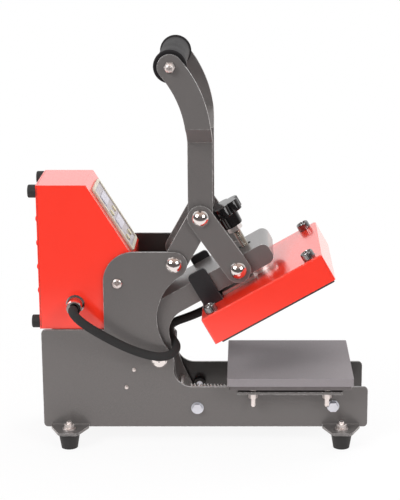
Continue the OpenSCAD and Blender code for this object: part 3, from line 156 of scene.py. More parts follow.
class PressFinish(bpy.types.PropertyGroup):
    """Colours and finishes of the press."""

    plate_colour: bpy.props.FloatVectorProperty(
        name="Plate paint", description="Colour of the textured paint on the plates and levers",
        subtype="COLOR", size=3, min=0.0, max=1.0, default=(0.112, 0.104, 0.101))
    red_colour: bpy.props.FloatVectorProperty(
        name="Red paint", description="Colour of the gloss paint on the head and the control box",
        subtype="COLOR", size=3, min=0.0, max=1.0, default=(0.97, 0.030, 0.010))
    pad_colour: bpy.props.FloatVectorProperty(
        name="Pad", description="Colour of the silicone pad",
        subtype="COLOR", size=3, min=0.0, max=1.0, default=(0.275, 0.253, 0.262))
    rubber_colour: bpy.props.FloatVectorProperty(
        name="Rubber", description="Colour of the grip, the feet and the cable",
        subtype="COLOR", size=3, min=0.0, max=1.0, default=(0.016, 0.016, 0.016))
    steel_colour: bpy.props.FloatVectorProperty(
        name="Bright steel", description="Colour of the turned and plated steel",
        subtype="COLOR", size=3, min=0.0, max=1.0, default=(0.92, 0.87, 0.85))
    texture_depth: bpy.props.FloatProperty(
        name="Paint texture", description="Depth of the fine texture of the plate paint",
        subtype="DISTANCE", unit="LENGTH", min=0.0, max=0.001, default=0.00012)
    edge_radius: bpy.props.FloatProperty(
        name="Edge radius", description="Radius of the broken edges of the sheet metal",
        subtype="DISTANCE", unit="LENGTH", min=0.0001, max=0.001, default=0.00045)


class PressSpring(bpy.types.PropertyGroup):
    """Sizes of the return spring and the heater cable."""

    coil_diameter: bpy.props.FloatProperty(
        name="Coil diameter", description="Outer diameter of the return spring",
        subtype="DISTANCE", unit="LENGTH", min=0.008, max=0.014, default=0.012)
    wire_diameter: bpy.props.FloatProperty(
        name="Wire diameter", description="Diameter of the spring wire",
        subtype="DISTANCE", unit="LENGTH", min=0.001, max=0.0025, default=0.0018)
    turns: bpy.props.IntProperty(
        name="Turns", description="Number of turns of the return spring", min=20, max=32, default=30)
    cable_diameter: bpy.props.FloatProperty(
        name="Cable diameter", description="Diameter of the heater cable",
        subtype="DISTANCE", unit="LENGTH", min=0.008, max=0.0108, default=0.0104)


class PressStudio(bpy.types.PropertyGroup):
    """Floor, lights and camera."""

    floor_shade: bpy.props.FloatProperty(
        name="Floor shade", description="How pale the floor and the background are", min=0.0, max=1.0,
        default=1.0)
    key_power: bpy.props.FloatProperty(
        name="Main light", description="Power of the large light on the left", subtype="POWER", unit="POWER",
        min=0.0, max=200.0, default=34.0)
    fill_power: bpy.props.FloatProperty(
        name="Fill light", description="Power of the light on the right", subtype="POWER", unit="POWER",
        min=0.0, max=200.0, default=15.0)
    sky_light: bpy.props.FloatProperty(
        name="Light of the room", description="Even light from all sides", min=0.0, max=2.0, default=0.30)
    lens: bpy.props.FloatProperty(
        name="Focal length", description="Focal length of the camera in millimetres", min=20.0, max=300.0,
        default=109.96)


def socket(tree, name, side, kind, value=None):
    """Adds a socket to the outside of a node group."""
    item = tree.interface.new_socket(name=name, in_out=side, socket_type=kind)
    if value is not None:
        item.default_value = value
    return item


def start_group(name, inputs, outputs):
    """A shader node group with its sockets, or None where it exists already."""
    if name in bpy.data.node_groups:
        return None, None, None
    tree = bpy.data.node_groups.new(name, "ShaderNodeTree")
    for label, kind, value in inputs:
        socket(tree, label, "INPUT", kind, value)
    for label, kind in outputs:
        socket(tree, label, "OUTPUT", kind)
    return tree, tree.nodes.new("NodeGroupInput"), tree.nodes.new("NodeGroupOutput")


def maths(tree, operation, a, b=0.5, clamp=False):
    """A Math node; a and b are sockets or numbers."""
    node = tree.nodes.new("ShaderNodeMath")
    node.operation = operation
    node.use_clamp = clamp
    for slot, value in zip(node.inputs, (a, b)):
        if isinstance(value, (int, float)):
            slot.default_value = value
        else:
            tree.links.new(value, slot)
    return node.outputs[0]


def spread(tree, value, low, high, out_low=0.0, out_high=1.0):
    """A Map Range node from low..high to out_low..out_high."""
    node = tree.nodes.new("ShaderNodeMapRange")
    tree.links.new(value, node.inputs["Value"])
    for label, number in (("From Min", low), ("From Max", high), ("To Min", out_low), ("To Max", out_high)):
        node.inputs[label].default_value = number
    return node.outputs[0]


def noise(tree, vector, scale, detail=3.0, rough=0.55):
    """A Noise Texture; scale is a socket or a number."""
    node = tree.nodes.new("ShaderNodeTexNoise")
    tree.links.new(vector, node.inputs["Vector"])
    if isinstance(scale, (int, float)):
        node.inputs["Scale"].default_value = scale
    else:
        tree.links.new(scale, node.inputs["Scale"])
    node.inputs["Detail"].default_value = detail
    node.inputs["Roughness"].default_value = rough
    return node.outputs["Fac"]


def grain_group():
    """Fine pebbled texture of powder coat, moulded plastic and rubber."""
    tree, gin, gout = start_group(
        "fine_grain",
        [("Vector", "NodeSocketVector", None), ("Scale", "NodeSocketFloat", 900.0)],
        [("Height", "NodeSocketFloat"), ("Mask", "NodeSocketFloat")])
    if tree is None:
        return
    fine = noise(tree, gin.outputs["Vector"], gin.outputs["Scale"], 4.0, 0.6)
    cells = tree.nodes.new("ShaderNodeTexVoronoi")
    cells.feature = "SMOOTH_F1"
    tree.links.new(gin.outputs["Vector"], cells.inputs["Vector"])
    tree.links.new(maths(tree, "MULTIPLY", gin.outputs["Scale"], 0.8), cells.inputs["Scale"])
    pebbles = maths(tree, "MULTIPLY", cells.outputs[0], 0.5)
    height = maths(tree, "ADD", maths(tree, "MULTIPLY", fine, 0.6), pebbles)
    tree.links.new(height, gout.inputs["Height"])
    tree.links.new(spread(tree, fine, 0.35, 0.65), gout.inputs["Mask"])


def wear_group():
    """Broad uneven patches, as left by handling, heat and dust."""
    tree, gin, gout = start_group(
        "handling",
        [("Vector", "NodeSocketVector", None), ("Scale", "NodeSocketFloat", 14.0)],
        [("Mask", "NodeSocketFloat")])
    if tree is None:
        return
    broad = noise(tree, gin.outputs["Vector"], gin.outputs["Scale"], 5.0, 0.65)
    tree.links.new(spread(tree, broad, 0.3, 0.72), gout.inputs["Mask"])


def edge_wear_glint_group():
    """Paler line along the edges: partly wear, partly painted highlight where the broken edges catch the light."""
    tree, gin, gout = start_group(
        "edge_wear_and_glint",
        [("Vector", "NodeSocketVector", None), ("Radius", "NodeSocketFloat", 0.0006),
         ("Amount", "NodeSocketFloat", 0.5)],
        [("Mask", "NodeSocketFloat")])
    if tree is None:
        return
    geometry = tree.nodes.new("ShaderNodeNewGeometry")
    rounded = tree.nodes.new("ShaderNodeBevel")
    rounded.samples = 4
    tree.links.new(gin.outputs["Radius"], rounded.inputs["Radius"])
    dot = tree.nodes.new("ShaderNodeVectorMath")
    dot.operation = "DOT_PRODUCT"
    tree.links.new(rounded.outputs["Normal"], dot.inputs[0])
    tree.links.new(geometry.outputs["True Normal"], dot.inputs[1])
    turned = spread(tree, dot.outputs["Value"], 0.995, 0.85)
    patch = spread(tree, noise(tree, gin.outputs["Vector"], 160.0, 4.0, 0.7), 0.35, 0.6)
    pale_edge = maths(tree, "MULTIPLY", maths(tree, "MULTIPLY", turned, patch), gin.outputs["Amount"], clamp=True)
    tree.links.new(pale_edge, gout.inputs["Mask"])


def lines_group():
    """Fine lines of turned, drawn or brushed metal, along the stretch."""
    tree, gin, gout = start_group(
        "tool_lines",
        [("Vector", "NodeSocketVector", None), ("Stretch", "NodeSocketVector", (60.0, 2500.0, 2500.0))],
        [("Height", "NodeSocketFloat"), ("Mask", "NodeSocketFloat")])
    if tree is None:
        return
    scaled = tree.nodes.new("ShaderNodeVectorMath")
    scaled.operation = "MULTIPLY"
    tree.links.new(gin.outputs["Vector"], scaled.inputs[0])
    tree.links.new(gin.outputs["Stretch"], scaled.inputs[1])
    lines = noise(tree, scaled.outputs[0], 1.0, 3.0, 0.6)
    tree.links.new(lines, gout.inputs["Height"])
    tree.links.new(spread(tree, lines, 0.3, 0.7), gout.inputs["Mask"])


def mixed(tree, mask, low, high):
    """A colour Mix node; low and high are sockets or colours."""
    node = tree.nodes.new("ShaderNodeMix")
    node.data_type = "RGBA"
    tree.links.new(mask, node.inputs[0])
    for slot, value in ((node.inputs[6], low), (node.inputs[7], high)):
        if hasattr(value, "is_linked"):
            tree.links.new(value, slot)
        else:
            slot.default_value = (*value, 1.0)
    return node.outputs[2]


class Surface:
    """A material under construction: a Principled BSDF with object coordinates."""

    def __init__(self, name, colour, roughness, metallic=0.0):
        self.material = bpy.data.materials.new(name)
        self.material.use_nodes = True
        self.tree = self.material.node_tree
        self.shader = self.tree.nodes["Principled BSDF"]
        self.shader.inputs["Base Color"].default_value = (*colour, 1.0)
        self.shader.inputs["Roughness"].default_value = roughness
        self.shader.inputs["Metallic"].default_value = metallic
        self.vector = self.tree.nodes.new("ShaderNodeTexCoord").outputs["Object"]

    def set(self, **values):
        """Sets inputs of the shader, named with underscores."""
        for label, value in values.items():
            self.shader.inputs[label.replace("_", " ")].default_value = value
        return self

    def group(self, name, **values):
        """Adds a shared node group and returns its outputs."""
        node = self.tree.nodes.new("ShaderNodeGroup")
        node.node_tree = bpy.data.node_groups[name]
        self.tree.links.new(self.vector, node.inputs["Vector"])
        for label, value in values.items():
            node.inputs[label].default_value = value
        return node.outputs

    def mix(self, mask, low, high):
        """Mixes two colours or sockets by a mask."""
        return mixed(self.tree, mask, low, high)

    def tint(self, output):
        """Takes the base colour from a socket."""
        self.tree.links.new(output, self.shader.inputs["Base Color"])
        return self

    def gloss(self, mask, low, high):
        """Spreads the roughness from low to high by a mask."""
        self.tree.links.new(spread(self.tree, mask, 0.0, 1.0, low, high), self.shader.inputs["Roughness"])
        return self

    def bump(self, height, distance, strength):
        """Adds a fine relief, with its depth in metres."""
        node = self.tree.nodes.new("ShaderNodeBump")
        node.inputs["Distance"].default_value = distance
        node.inputs["Strength"].default_value = strength
        self.tree.links.new(height, node.inputs["Height"])
        self.tree.links.new(node.outputs["Normal"], self.shader.inputs["Normal"])
        return self


def shade(colour, factor):
    """The colour made lighter or darker."""
    return tuple(min(1.0, c * factor) for c in colour)


def plate_paint(props, name="plate_paint", shaded_face=None):
    """Textured dark paint; given the distance of an inner face from the middle in metres, that face gets painted
    shade.
    """
    colour = tuple(props.plate_colour)
    s = Surface(name, colour, 0.5).set(Coat_Weight=0.9, Coat_Roughness=0.22)
    grain = s.group("fine_grain", Scale=1500.0)
    patches = s.group("handling", Scale=9.0)
    edges = s.group("edge_wear_and_glint", Radius=0.0009, Amount=1.0)
    speckled = s.mix(grain["Mask"], shade(colour, 0.80), shade(colour, 1.22))
    clouded = s.mix(patches["Mask"], speckled, shade(colour, 1.05))
    if shaded_face:
        ways = s.tree.nodes.new("ShaderNodeSeparateXYZ")
        s.tree.links.new(s.vector, ways.inputs[0])
        aside = maths(s.tree, "ABSOLUTE", ways.outputs["Y"])
        painted_inner_shade = spread(s.tree, aside, shaded_face + 0.0006, shaded_face + 0.0003)
        # painted shade: the inner faces of the side plates are darkened to 0.22 of the paint colour, as if in the
        # shade between the plates
        clouded = s.mix(painted_inner_shade, clouded, shade(colour, 0.22))
    # paler edges: partly wear, partly painted highlight of light glinting on the broken edges
    s.tint(s.mix(edges["Mask"], clouded, (0.70, 0.68, 0.67)))
    s.gloss(grain["Mask"], 0.42, 0.60).bump(grain["Height"], props.texture_depth, 0.55)
    return s.material


def red_paint(props):
    """Gloss paint under a clear coat, with faintly paler edges that are partly wear and partly painted highlight.
    """
    colour = tuple(props.red_colour)
    s = Surface("red_paint", colour, 0.34).set(
        Specular_IOR_Level=0.2, Coat_Weight=1.0, Coat_Roughness=0.13, Coat_IOR=1.8)
    grain = s.group("fine_grain", Scale=420.0)
    patches = s.group("handling", Scale=7.0)
    edges = s.group("edge_wear_and_glint", Radius=0.0008, Amount=0.5)
    clouded = s.mix(patches["Mask"], shade(colour, 0.97), shade(colour, 1.03))
    # paler red edges: partly wear, partly painted highlight of light glinting on the edges
    s.tint(s.mix(edges["Mask"], clouded, (0.95, 0.22, 0.16)))
    s.gloss(grain["Mask"], 0.28, 0.38).bump(grain["Height"], 0.00006, 0.35)
    return s.material


def plain_coat(name, colour, low, high, scale, depth, pale_edge=0.3, shine=0.5):
    """Painted, moulded or rubber finish with a fine grain and handling marks."""
    s = Surface(name, colour, (low + high) / 2).set(Specular_IOR_Level=shine)
    grain = s.group("fine_grain", Scale=scale)
    patches = s.group("handling", Scale=22.0)
    edges = s.group("edge_wear_and_glint", Radius=0.0006, Amount=pale_edge)
    base = s.mix(grain["Mask"], shade(colour, 0.82), shade(colour, 1.2))
    # paler edges: partly wear, partly painted highlight
    s.tint(s.mix(edges["Mask"], base, tuple(c * 1.5 + 0.03 for c in colour)))
    s.gloss(patches["Mask"], low, high).bump(grain["Height"], depth, 0.6)
    return s.material


def steel(name, colour, low, high, stretch, depth=0.00003):
    """Bare or plated metal with its tool lines."""
    s = Surface(name, colour, (low + high) / 2, 1.0)
    lines = s.group("tool_lines", Stretch=stretch)
    patches = s.group("handling", Scale=45.0)
    s.tint(s.mix(patches["Mask"], shade(colour, 0.86), shade(colour, 1.08)))
    s.gloss(lines["Mask"], low, high).bump(lines["Height"], depth, 0.4)
    return s.material


def polished(name, colour):
    """Polished plate with faint wiping marks."""
    s = Surface(name, colour, 0.06, 1.0)
    patches = s.group("handling", Scale=90.0)
    s.tint(s.mix(patches["Mask"], shade(colour, 0.96), colour))
    s.gloss(patches["Mask"], 0.04, 0.11)
    return s.material


def finishes(props):
    """Every material of the press, by its record slot or by the name of a second finish, such as the plate paint
    with painted shade on its inner faces.
    """
    steel_colour = tuple(props.steel_colour)
    rubber = tuple(props.rubber_colour)
    across = (2600.0, 90.0, 2600.0)
    even = (900.0, 900.0, 900.0)
    return {
        "dark_paint": plate_paint(props),
        "red_paint": red_paint(props),
        # plate paint with painted shade on the inner faces of the side plates
        "frame_paint_painted_shade": plate_paint(props, "frame_paint_painted_shade", PLATE_INNER_FACE),
        "black_paint": plain_coat("guide_paint", (0.013, 0.013, 0.015), 0.30, 0.45, 900.0, 0.00006, 0.5),
        "bright_steel": steel("turned_steel", steel_colour, 0.34, 0.50, across),
        "thread_steel": steel("rolled_thread", (0.50, 0.48, 0.43), 0.14, 0.30, even),
        "zinc_steel": steel("zinc_plate", (0.74, 0.77, 0.84), 0.28, 0.44, even),
        "pan_steel": steel("bright_screws", (0.86, 0.80, 0.78), 0.26, 0.40, even),
        "black_steel": steel("black_screws", (0.27, 0.27, 0.275), 0.10, 0.20, even),
        "spring_steel": steel("spring_wire", (0.86, 0.84, 0.83), 0.24, 0.38, (400.0, 3000.0, 3000.0)),
        "polished": polished("polished_caps", (0.80, 0.775, 0.765)),
        "bronze": steel("sintered_bronze", (0.55, 0.38, 0.16), 0.34, 0.5, (1500.0, 1500.0, 1500.0)),
        "pad_silicone": plain_coat("silicone_sponge", tuple(props.pad_colour), 0.7, 0.85, 2200.0, 0.00008,
                                   0.15, 0.2),
        "black_rubber": plain_coat("foot_rubber", rubber, 0.55, 0.7, 1300.0, 0.0001),
        "platen_steel": steel("phosphated_steel", (0.20, 0.19, 0.195), 0.42, 0.58, (500.0, 500.0, 500.0)),
        "heater_alloy": plain_coat("non_stick", (0.03, 0.03, 0.032), 0.32, 0.42, 800.0, 0.00003),
        "insulation": plain_coat("fibre_board", (0.72, 0.67, 0.55), 0.85, 0.95, 500.0, 0.0003, 0.0),
        "grip_foam": plain_coat("grip_rubber", (0.013, 0.012, 0.013), 0.52, 0.66, 1600.0, 0.00012, 0.3, 0.2),
        "knob_plastic": plain_coat("knob_plastic", (0.008, 0.008, 0.009), 0.07, 0.14, 300.0, 0.00001,
                                   0.0, 0.6),
        "black_plastic": plain_coat("moulded_black", (0.02, 0.02, 0.021), 0.32, 0.5, 1200.0, 0.00005),
        "bezel_plastic": plain_coat("cream_bezel", (0.66, 0.61, 0.50), 0.38, 0.5, 1200.0, 0.00004, 0.2),
        "panel_film": plain_coat("panel_film", (0.42, 0.375, 0.40), 0.22, 0.34, 1500.0, 0.00003, 0.0),
        "window_tint": plain_coat("display_window", (0.56, 0.53, 0.62), 0.08, 0.14, 300.0, 0.00001, 0.0),
        "board_green": plain_coat("solder_mask", (0.02, 0.14, 0.05), 0.25, 0.4, 700.0, 0.00003, 0.0),
        "key_caps": plain_coat("key_caps", (0.70, 0.63, 0.42), 0.25, 0.35, 900.0, 0.00002, 0.1),
        "rocker_red": plain_coat("rocker_red", (0.42, 0.012, 0.012), 0.12, 0.2, 500.0, 0.00001, 0.1),
        "cable_jacket": plain_coat("cable_jacket", (0.013, 0.013, 0.014), 0.40, 0.55, 1500.0, 0.00008, 0.0),
    }


def slot_of(node):
    """The record's material slot of a node."""
    for part in frame["record"]["subparts"]:
        if part["node"] == node:
            return part["material_slot"]
    raise RuntimeError("no slot for " + node)


def soften(obj, radius, angle):
    """Breaks the sharp edges of a piece and smooths the shading of its round faces."""
    weld = obj.modifiers.new("join", "WELD")
    weld.merge_threshold = 1e-6
    flat = obj.modifiers.new("flat_faces", "DECIMATE")
    flat.decimate_type = "DISSOLVE"
    flat.angle_limit = math.radians(0.3)
    bevel = obj.modifiers.new("broken_edge", "BEVEL")
    bevel.width = radius
    bevel.segments = 2
    bevel.limit_method = "ANGLE"
    bevel.angle_limit = math.radians(angle)
    bevel.use_clamp_overlap = True
    bevel.harden_normals = False
    normals = obj.modifiers.new("face_normals", "WEIGHTED_NORMAL")
    normals.weight = 80
    normals.keep_sharp = True


class PRESS_OT_finishes(bpy.types.Operator):
    """Gives every carried-over piece its finish and breaks its sharp edges"""

    bl_idname = "heat_press.finishes"
    bl_label = "Finishes"

    def execute(self, context):
        props = context.scene.press_finish
        for build in (grain_group, wear_group, edge_wear_glint_group, lines_group):
            build()
        made = finishes(props)
        MADE.update({slot_name: material.name for slot_name, material in made.items()})
        for name, obj in NODES.items():
            obj.data.materials.clear()
            obj.data.materials.append(made[INNER_SHADE_FINISH.get(name, slot_of(name))])
        for name, angle in SOFTENED.items():
            soften(NODES[name], props.edge_radius, angle)
        return {"FINISHED"}


def linked(name, data):
    """A new object of the data, linked to the scene."""
    obj = bpy.data.objects.new(name, data)
    bpy.context.scene.collection.objects.link(obj)
    return obj


def mesh_object(name, verts, faces):
    """A new mesh object, linked to the scene."""
    mesh = bpy.data.meshes.new(name)
    mesh.from_pydata(verts, [], faces)
    return linked(name, mesh)


def round_curve(name, radius, sides):
    """Empty curve data with a round section and closed ends."""
    data = bpy.data.curves.new(name, "CURVE")
    data.dimensions = "3D"
    data.bevel_depth = radius
    data.bevel_resolution = sides
    data.use_fill_caps = True
    return data


def smooth_tube(name, points, radius):
    """A round tube along a smooth open curve through the points."""
    data = round_curve(name, radius, 10)
    data.resolution_u = 8
    line = data.splines.new("BEZIER")
    line.bezier_points.add(len(points) - 1)
    for i, point in enumerate(points):
        before = Vector(points[max(i - 1, 0)])
        after = Vector(points[min(i + 1, len(points) - 1)])
        here = Vector(point)
        way = (after - before).normalized()
        knot = line.bezier_points[i]
        knot.co = here
        knot.handle_left_type = knot.handle_right_type = "FREE"
        knot.handle_left = here - way * (here - before).length / 3
        knot.handle_right = here + way * (after - here).length / 3
    return linked(name, data)


def wire(name, points, radius):
    """A round wire straight from point to point."""
    data = round_curve(name, radius, 3)
    line = data.splines.new("POLY")
    line.points.add(len(points) - 1)
    for knot, point in zip(line.points, points):
        knot.co = (*point, 1.0)
    return linked(name, data)


def as_mesh(curve):
    """The curve's tube as a plain mesh piece of the same name."""
    bpy.context.view_layer.update()
    name = curve.name
    mesh = bpy.data.meshes.new_from_object(curve.evaluated_get(bpy.context.evaluated_depsgraph_get()))
    bpy.data.objects.remove(curve)
    mesh.name = name
    for face in mesh.polygons:
        face.use_smooth = True
    return linked(name, mesh)


def skin(parts, name, slot_name, body, place, crease, finish=None):
    """One piece from (verts, faces, placement) parts in millimetres, riding on a body.

    Edges that turn by more than crease, in degrees, stay sharp.
    """
    verts, faces = [], []
    for part_verts, part_faces, matrix in parts:
        first = len(verts)
        verts += [matrix @ (Vector(v) * MM) for v in part_verts]
        faces += [tuple(first + i for i in face) for face in part_faces]
    mesh = bpy.data.meshes.new(name)
    mesh.from_pydata([place @ v for v in verts], [], faces)
    mesh.validate()
    for face in mesh.polygons:
        face.use_smooth = True
    mesh.set_sharp_from_angle(angle=math.radians(crease))
    obj = linked(name, mesh)
    mesh.materials.append(bpy.data.materials[MADE[finish or slot_name]])
    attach(obj, body)
    return obj


def swept(rows):
    """Closed skin through rings of points, each with the same count, with a fan at both ends."""
    count = len(rows[0])
    verts = [v for row in rows for v in row]
    faces = []
    for r in range(len(rows) - 1):
        for i in range(count):
            j = (i + 1) % count
            faces.append((r * count + i, r * count + j, (r + 1) * count + j, (r + 1) * count + i))
    for row, turn in ((0, -1), (len(rows) - 1, 1)):
        centre = sum((Vector(v) for v in rows[row]), Vector()) / count
        verts.append(tuple(centre))
        for i in range(count):
            pair = (row * count + i, row * count + (i + 1) % count)
            faces.append((*pair[::turn], len(verts) - 1))
    return verts, faces


def turned(profile, sides=48, ripple=None):
    """Skin of a turned profile of (radius, height); ripple(angle, radius, height) is added to the radius."""
    rows = []
    for radius, height in profile:
        row = []
        for i in range(sides):
            angle = 2 * math.pi * i / sides
            r = radius + (ripple(angle, radius, height) if ripple else 0.0)
            row.append((r * math.cos(angle), r * math.sin(angle), height))
        rows.append(row)
    return swept(rows)


def knob_parts():
    """Star knob: a lobed disc on a narrower faceted hub."""
    def star(angle, radius, height):
        lobe = (0.5 + 0.5 * math.cos(KNOB_LOBES * (angle - math.pi / KNOB_LOBES))) ** LOBE_FULLNESS
        depth = DISC_CUT if height > DISC_LOW else HUB_CUT
        return -depth * (1 - lobe) * min(1.0, radius / 10)
    disc = [(8.0, 15.9), (21.4, 16.1), (22.2, 16.4), (22.6, 17.1), (22.6, 28.4), (22.3, 29.1), (21.6, 29.5),
            (3.0, 29.7)]
    hub = [(9.5, 0.0), (12.0, 0.2), (12.6, 0.9), (13.4, 15.8), (8.0, 15.95)]
    return [(*turned(disc, 96, star), Matrix()), (*turned(hub, 96, star), Matrix())]


def thread_parts(radius, low, high, pitch):
    """Threaded rod with chamfered ends and a plain collar."""
    def thread(angle, r, height):
        phase = (height / pitch - angle / (2 * math.pi)) % 1.0
        return -THREAD_DEPTH * (1 - abs(2 * phase - 1)) if r == radius else 0.0
    steps = int((high - low) / (pitch / 6))
    rows = [(radius - 0.9, low), (radius - 0.6, low + 0.2)]
    rows += [(radius, low + 0.3 + (high - low - 0.6) * i / steps) for i in range(steps + 1)]
    rows += [(radius - 0.6, high - 0.2), (radius - 0.9, high)]
    collar = [(4.2, 36.1), (7.0, 36.15), (7.5, 36.5), (7.5, 37.7), (7.0, 38.1), (4.2, 38.1)]
    return [(*turned(rows, 32, thread), Matrix()), (*turned(collar), Matrix())]


def knurled_head_parts(radius, height):
    """Knurled screw head with a dished top and a flat hexagon in it."""
    def knurl(angle, r, z):
        knurled = 1.2 < z < height - 1.6 and r > radius - 1
        return -0.32 * (0.5 + 0.5 * math.cos(26 * angle)) if knurled else 0.0
    side = [(radius - 1.5, 0.0), (radius - 0.3, 0.1), (radius - 0.2, 1.0), (radius, 1.4),
            (radius, height - 1.8)]
    rim = [(radius - 0.1, height - 1.5), (radius - 0.2, height - 0.6), (radius - 0.8, height),
           (radius - 1.6, height)]
    dish = [(radius - 2.0, height - 0.5), (radius - 2.2, height - 1.3), (3.9, height - 1.6)]
    hexagon = [six_corners(3.5, z) for z in (height - 1.55, height - 1.5)]
    return [(*turned(side + rim + dish, 104, knurl), Matrix()), (*swept(hexagon), Matrix())]


def six_corners(radius, height):
    """Corners of a hexagon at a height."""
    return [(radius * math.cos(math.pi * i / 3), radius * math.sin(math.pi * i / 3), height)
            for i in range(6)]


def pan_head(radius, height):
    """Rounded screw head with a cross recess, as (verts, faces)."""
    profile = [(radius - 0.4, 0.0), (radius, 0.3), (radius, 0.7)]
    for i in range(1, 9):
        t = math.radians(90 * i / 9)
        profile.append((radius * math.cos(t) ** 0.8, 0.7 + (height - 0.7) * math.sin(t)))
    head = mesh_object("head", *turned(profile, 64))
    half, reach = 0.75, 2.9
    outline = []
    for c, n in ((1, 0), (0, 1), (-1, 0), (0, -1)):
        outline += [(x * c - y * n, x * n + y * c) for x, y in ((reach, half), (half, half), (half, reach))]
    rows = [[(x * f, y * f, z) for x, y in outline] for z, f in ((height - 2.2, 0.55), (height + 1.0, 1.1))]
    cross = mesh_object("cross", *swept(rows))
    cut = head.modifiers.new("recess", "BOOLEAN")
    cut.operation = "DIFFERENCE"
    cut.solver = "EXACT"
    cut.object = cross
    bpy.context.view_layer.update()
    made = head.evaluated_get(bpy.context.evaluated_depsgraph_get()).to_mesh()
    result = ([tuple(v.co) for v in made.vertices], [tuple(face.vertices) for face in made.polygons])
    for obj in (head, cross):
        bpy.data.objects.remove(obj)
    return result


def domed_nut_parts(radius, height):
    """Closed nut: a low hexagon under a faceted dome."""
    steps = ((radius, 0.0), (radius, height * 0.4), (radius * 0.93, height * 0.48))
    dome = [(radius * 0.86, height * 0.3), (radius * 0.86, height * 0.52), (radius * 0.78, height * 0.72),
            (radius * 0.58, height * 0.9), (radius * 0.3, height)]
    return [(*swept([six_corners(r, z) for r, z in steps]), Matrix()), (*turned(dome), Matrix())]


def cover_screw_parts():
    """Knurled heads and shanks of the four screws in the head cover."""
    spots = [on_arm(HEAD_ALONG + x, y, COVER_TOP)
             for x in (-COVER_SCREW_X, COVER_SCREW_X) for y in (-COVER_SCREW_Y, COVER_SCREW_Y)]
    head = knurled_head_parts(KNURLED_RADIUS, KNURLED_HEIGHT)
    shank = [(2.6, -28.0), (3.0, -27.6), (3.0, 0.5), (2.6, 0.6)]
    parts = [(verts, faces, spot @ place) for spot in spots for verts, faces, place in head]
    return parts + [(*turned(shank, 24), spot) for spot in spots]


def side_screw_parts():
    """Housing screws and brace rivets of both side plates."""
    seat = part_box("housing_screws")[1].y / MM - SIDE_HEAD_HEIGHT
    head = pan_head(SIDE_HEAD_RADIUS, SIDE_HEAD_HEIGHT)
    shank = [(2.2, -7.3), (2.45, -6.9), (2.45, 0.2), (2.2, 0.3)]
    rivet = [(1.5, -5.0), (1.6, 0.0), (2.5, 0.0), (2.5, 0.5), (2.1, 1.1), (1.2, 1.5), (0.4, 1.6)]
    parts = []
    for y in (-seat, seat):
        spot = on_side(HOUSING_SCREW[0], y, HOUSING_SCREW[1])
        parts += [(*head, spot), (*turned(shank, 24), spot)]
        parts += [(*turned(rivet, 24), on_side(x, y, z)) for x, z in BRACE_RIVETS]
    return parts


def end_nut_parts():
    """Domed nuts and shanks at both ends of the grip."""
    low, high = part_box("grip_screws")
    x, z, seat = (low.x + high.x) / 2 / MM, (low.z + high.z) / 2 / MM, high.y / MM - END_NUT_HEIGHT
    shank = [(3.6, -23.0), (4.0, -22.6), (4.0, 0.2), (3.0, 0.3)]
    parts = []
    for spot in (on_side(x, -seat, z), on_side(x, seat, z)):
        parts += [(verts, faces, spot @ place)
                  for verts, faces, place in domed_nut_parts(END_NUT_RADIUS, END_NUT_HEIGHT)]
        parts.append((*turned(shank, 32), spot))
    return parts


class PRESS_OT_hardware(bpy.types.Operator):
    """Puts the star knob, the threaded screw and the screw heads with their recesses in place"""

    bl_idname = "heat_press.hardware"
    bl_label = "Hardware"

    def execute(self, context):
        knob = skin(knob_parts(), "star_knob", "knob_plastic", "screw", on_arm(SCREW_ALONG, 0, KNOB_FOOT), 28)
        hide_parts("pressure_knob")
        screw = skin(thread_parts(THREAD_RADIUS, THREAD_LOW, THREAD_HIGH, THREAD_PITCH), "threaded_screw",
                     "bright_steel", "screw", on_arm(SCREW_ALONG, 0, 0), 50, "thread_steel")
        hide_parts("pressure_screw")
        heads = skin(cover_screw_parts(), "knurled_screws", "black_plastic", "head", Matrix(), 40,
                     "black_steel")
        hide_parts("cover_screws")
        pans = skin(side_screw_parts(), "pan_head_screws", "zinc_steel", "frame", Matrix(), 30, "pan_steel")
        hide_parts("housing_screws")
        nuts = skin(end_nut_parts(), "grip_end_nuts", "bright_steel", "lever", Matrix(), 24)
        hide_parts("grip_screws")
        return {"FINISHED"}


class PRESS_OT_cable(bpy.types.Operator):
    """Lays the heater cable from its plug round the tower into the head"""

    bl_idname = "heat_press.cable"
    bl_label = "Heater cable"

    def execute(self, context):
        props = context.scene.press_spring
        curve = smooth_tube("heater_cable_jacket", CABLE_ROUTE, props.cable_diameter / 2)
        cable = as_mesh(curve)
        cable.data.materials.append(bpy.data.materials["cable_jacket"])
        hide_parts("heater_cable")
        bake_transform(cable)
        return {"FINISHED"}


def hook(middle, radius, first):
    """Points of a hook round a bar, which turns back by 170 degrees from its first angle."""
    turns = [math.radians(first - 170 * i / 12) for i in range(13)]
    return [(middle + radius * math.cos(t), 0, radius * math.sin(t)) for t in turns]


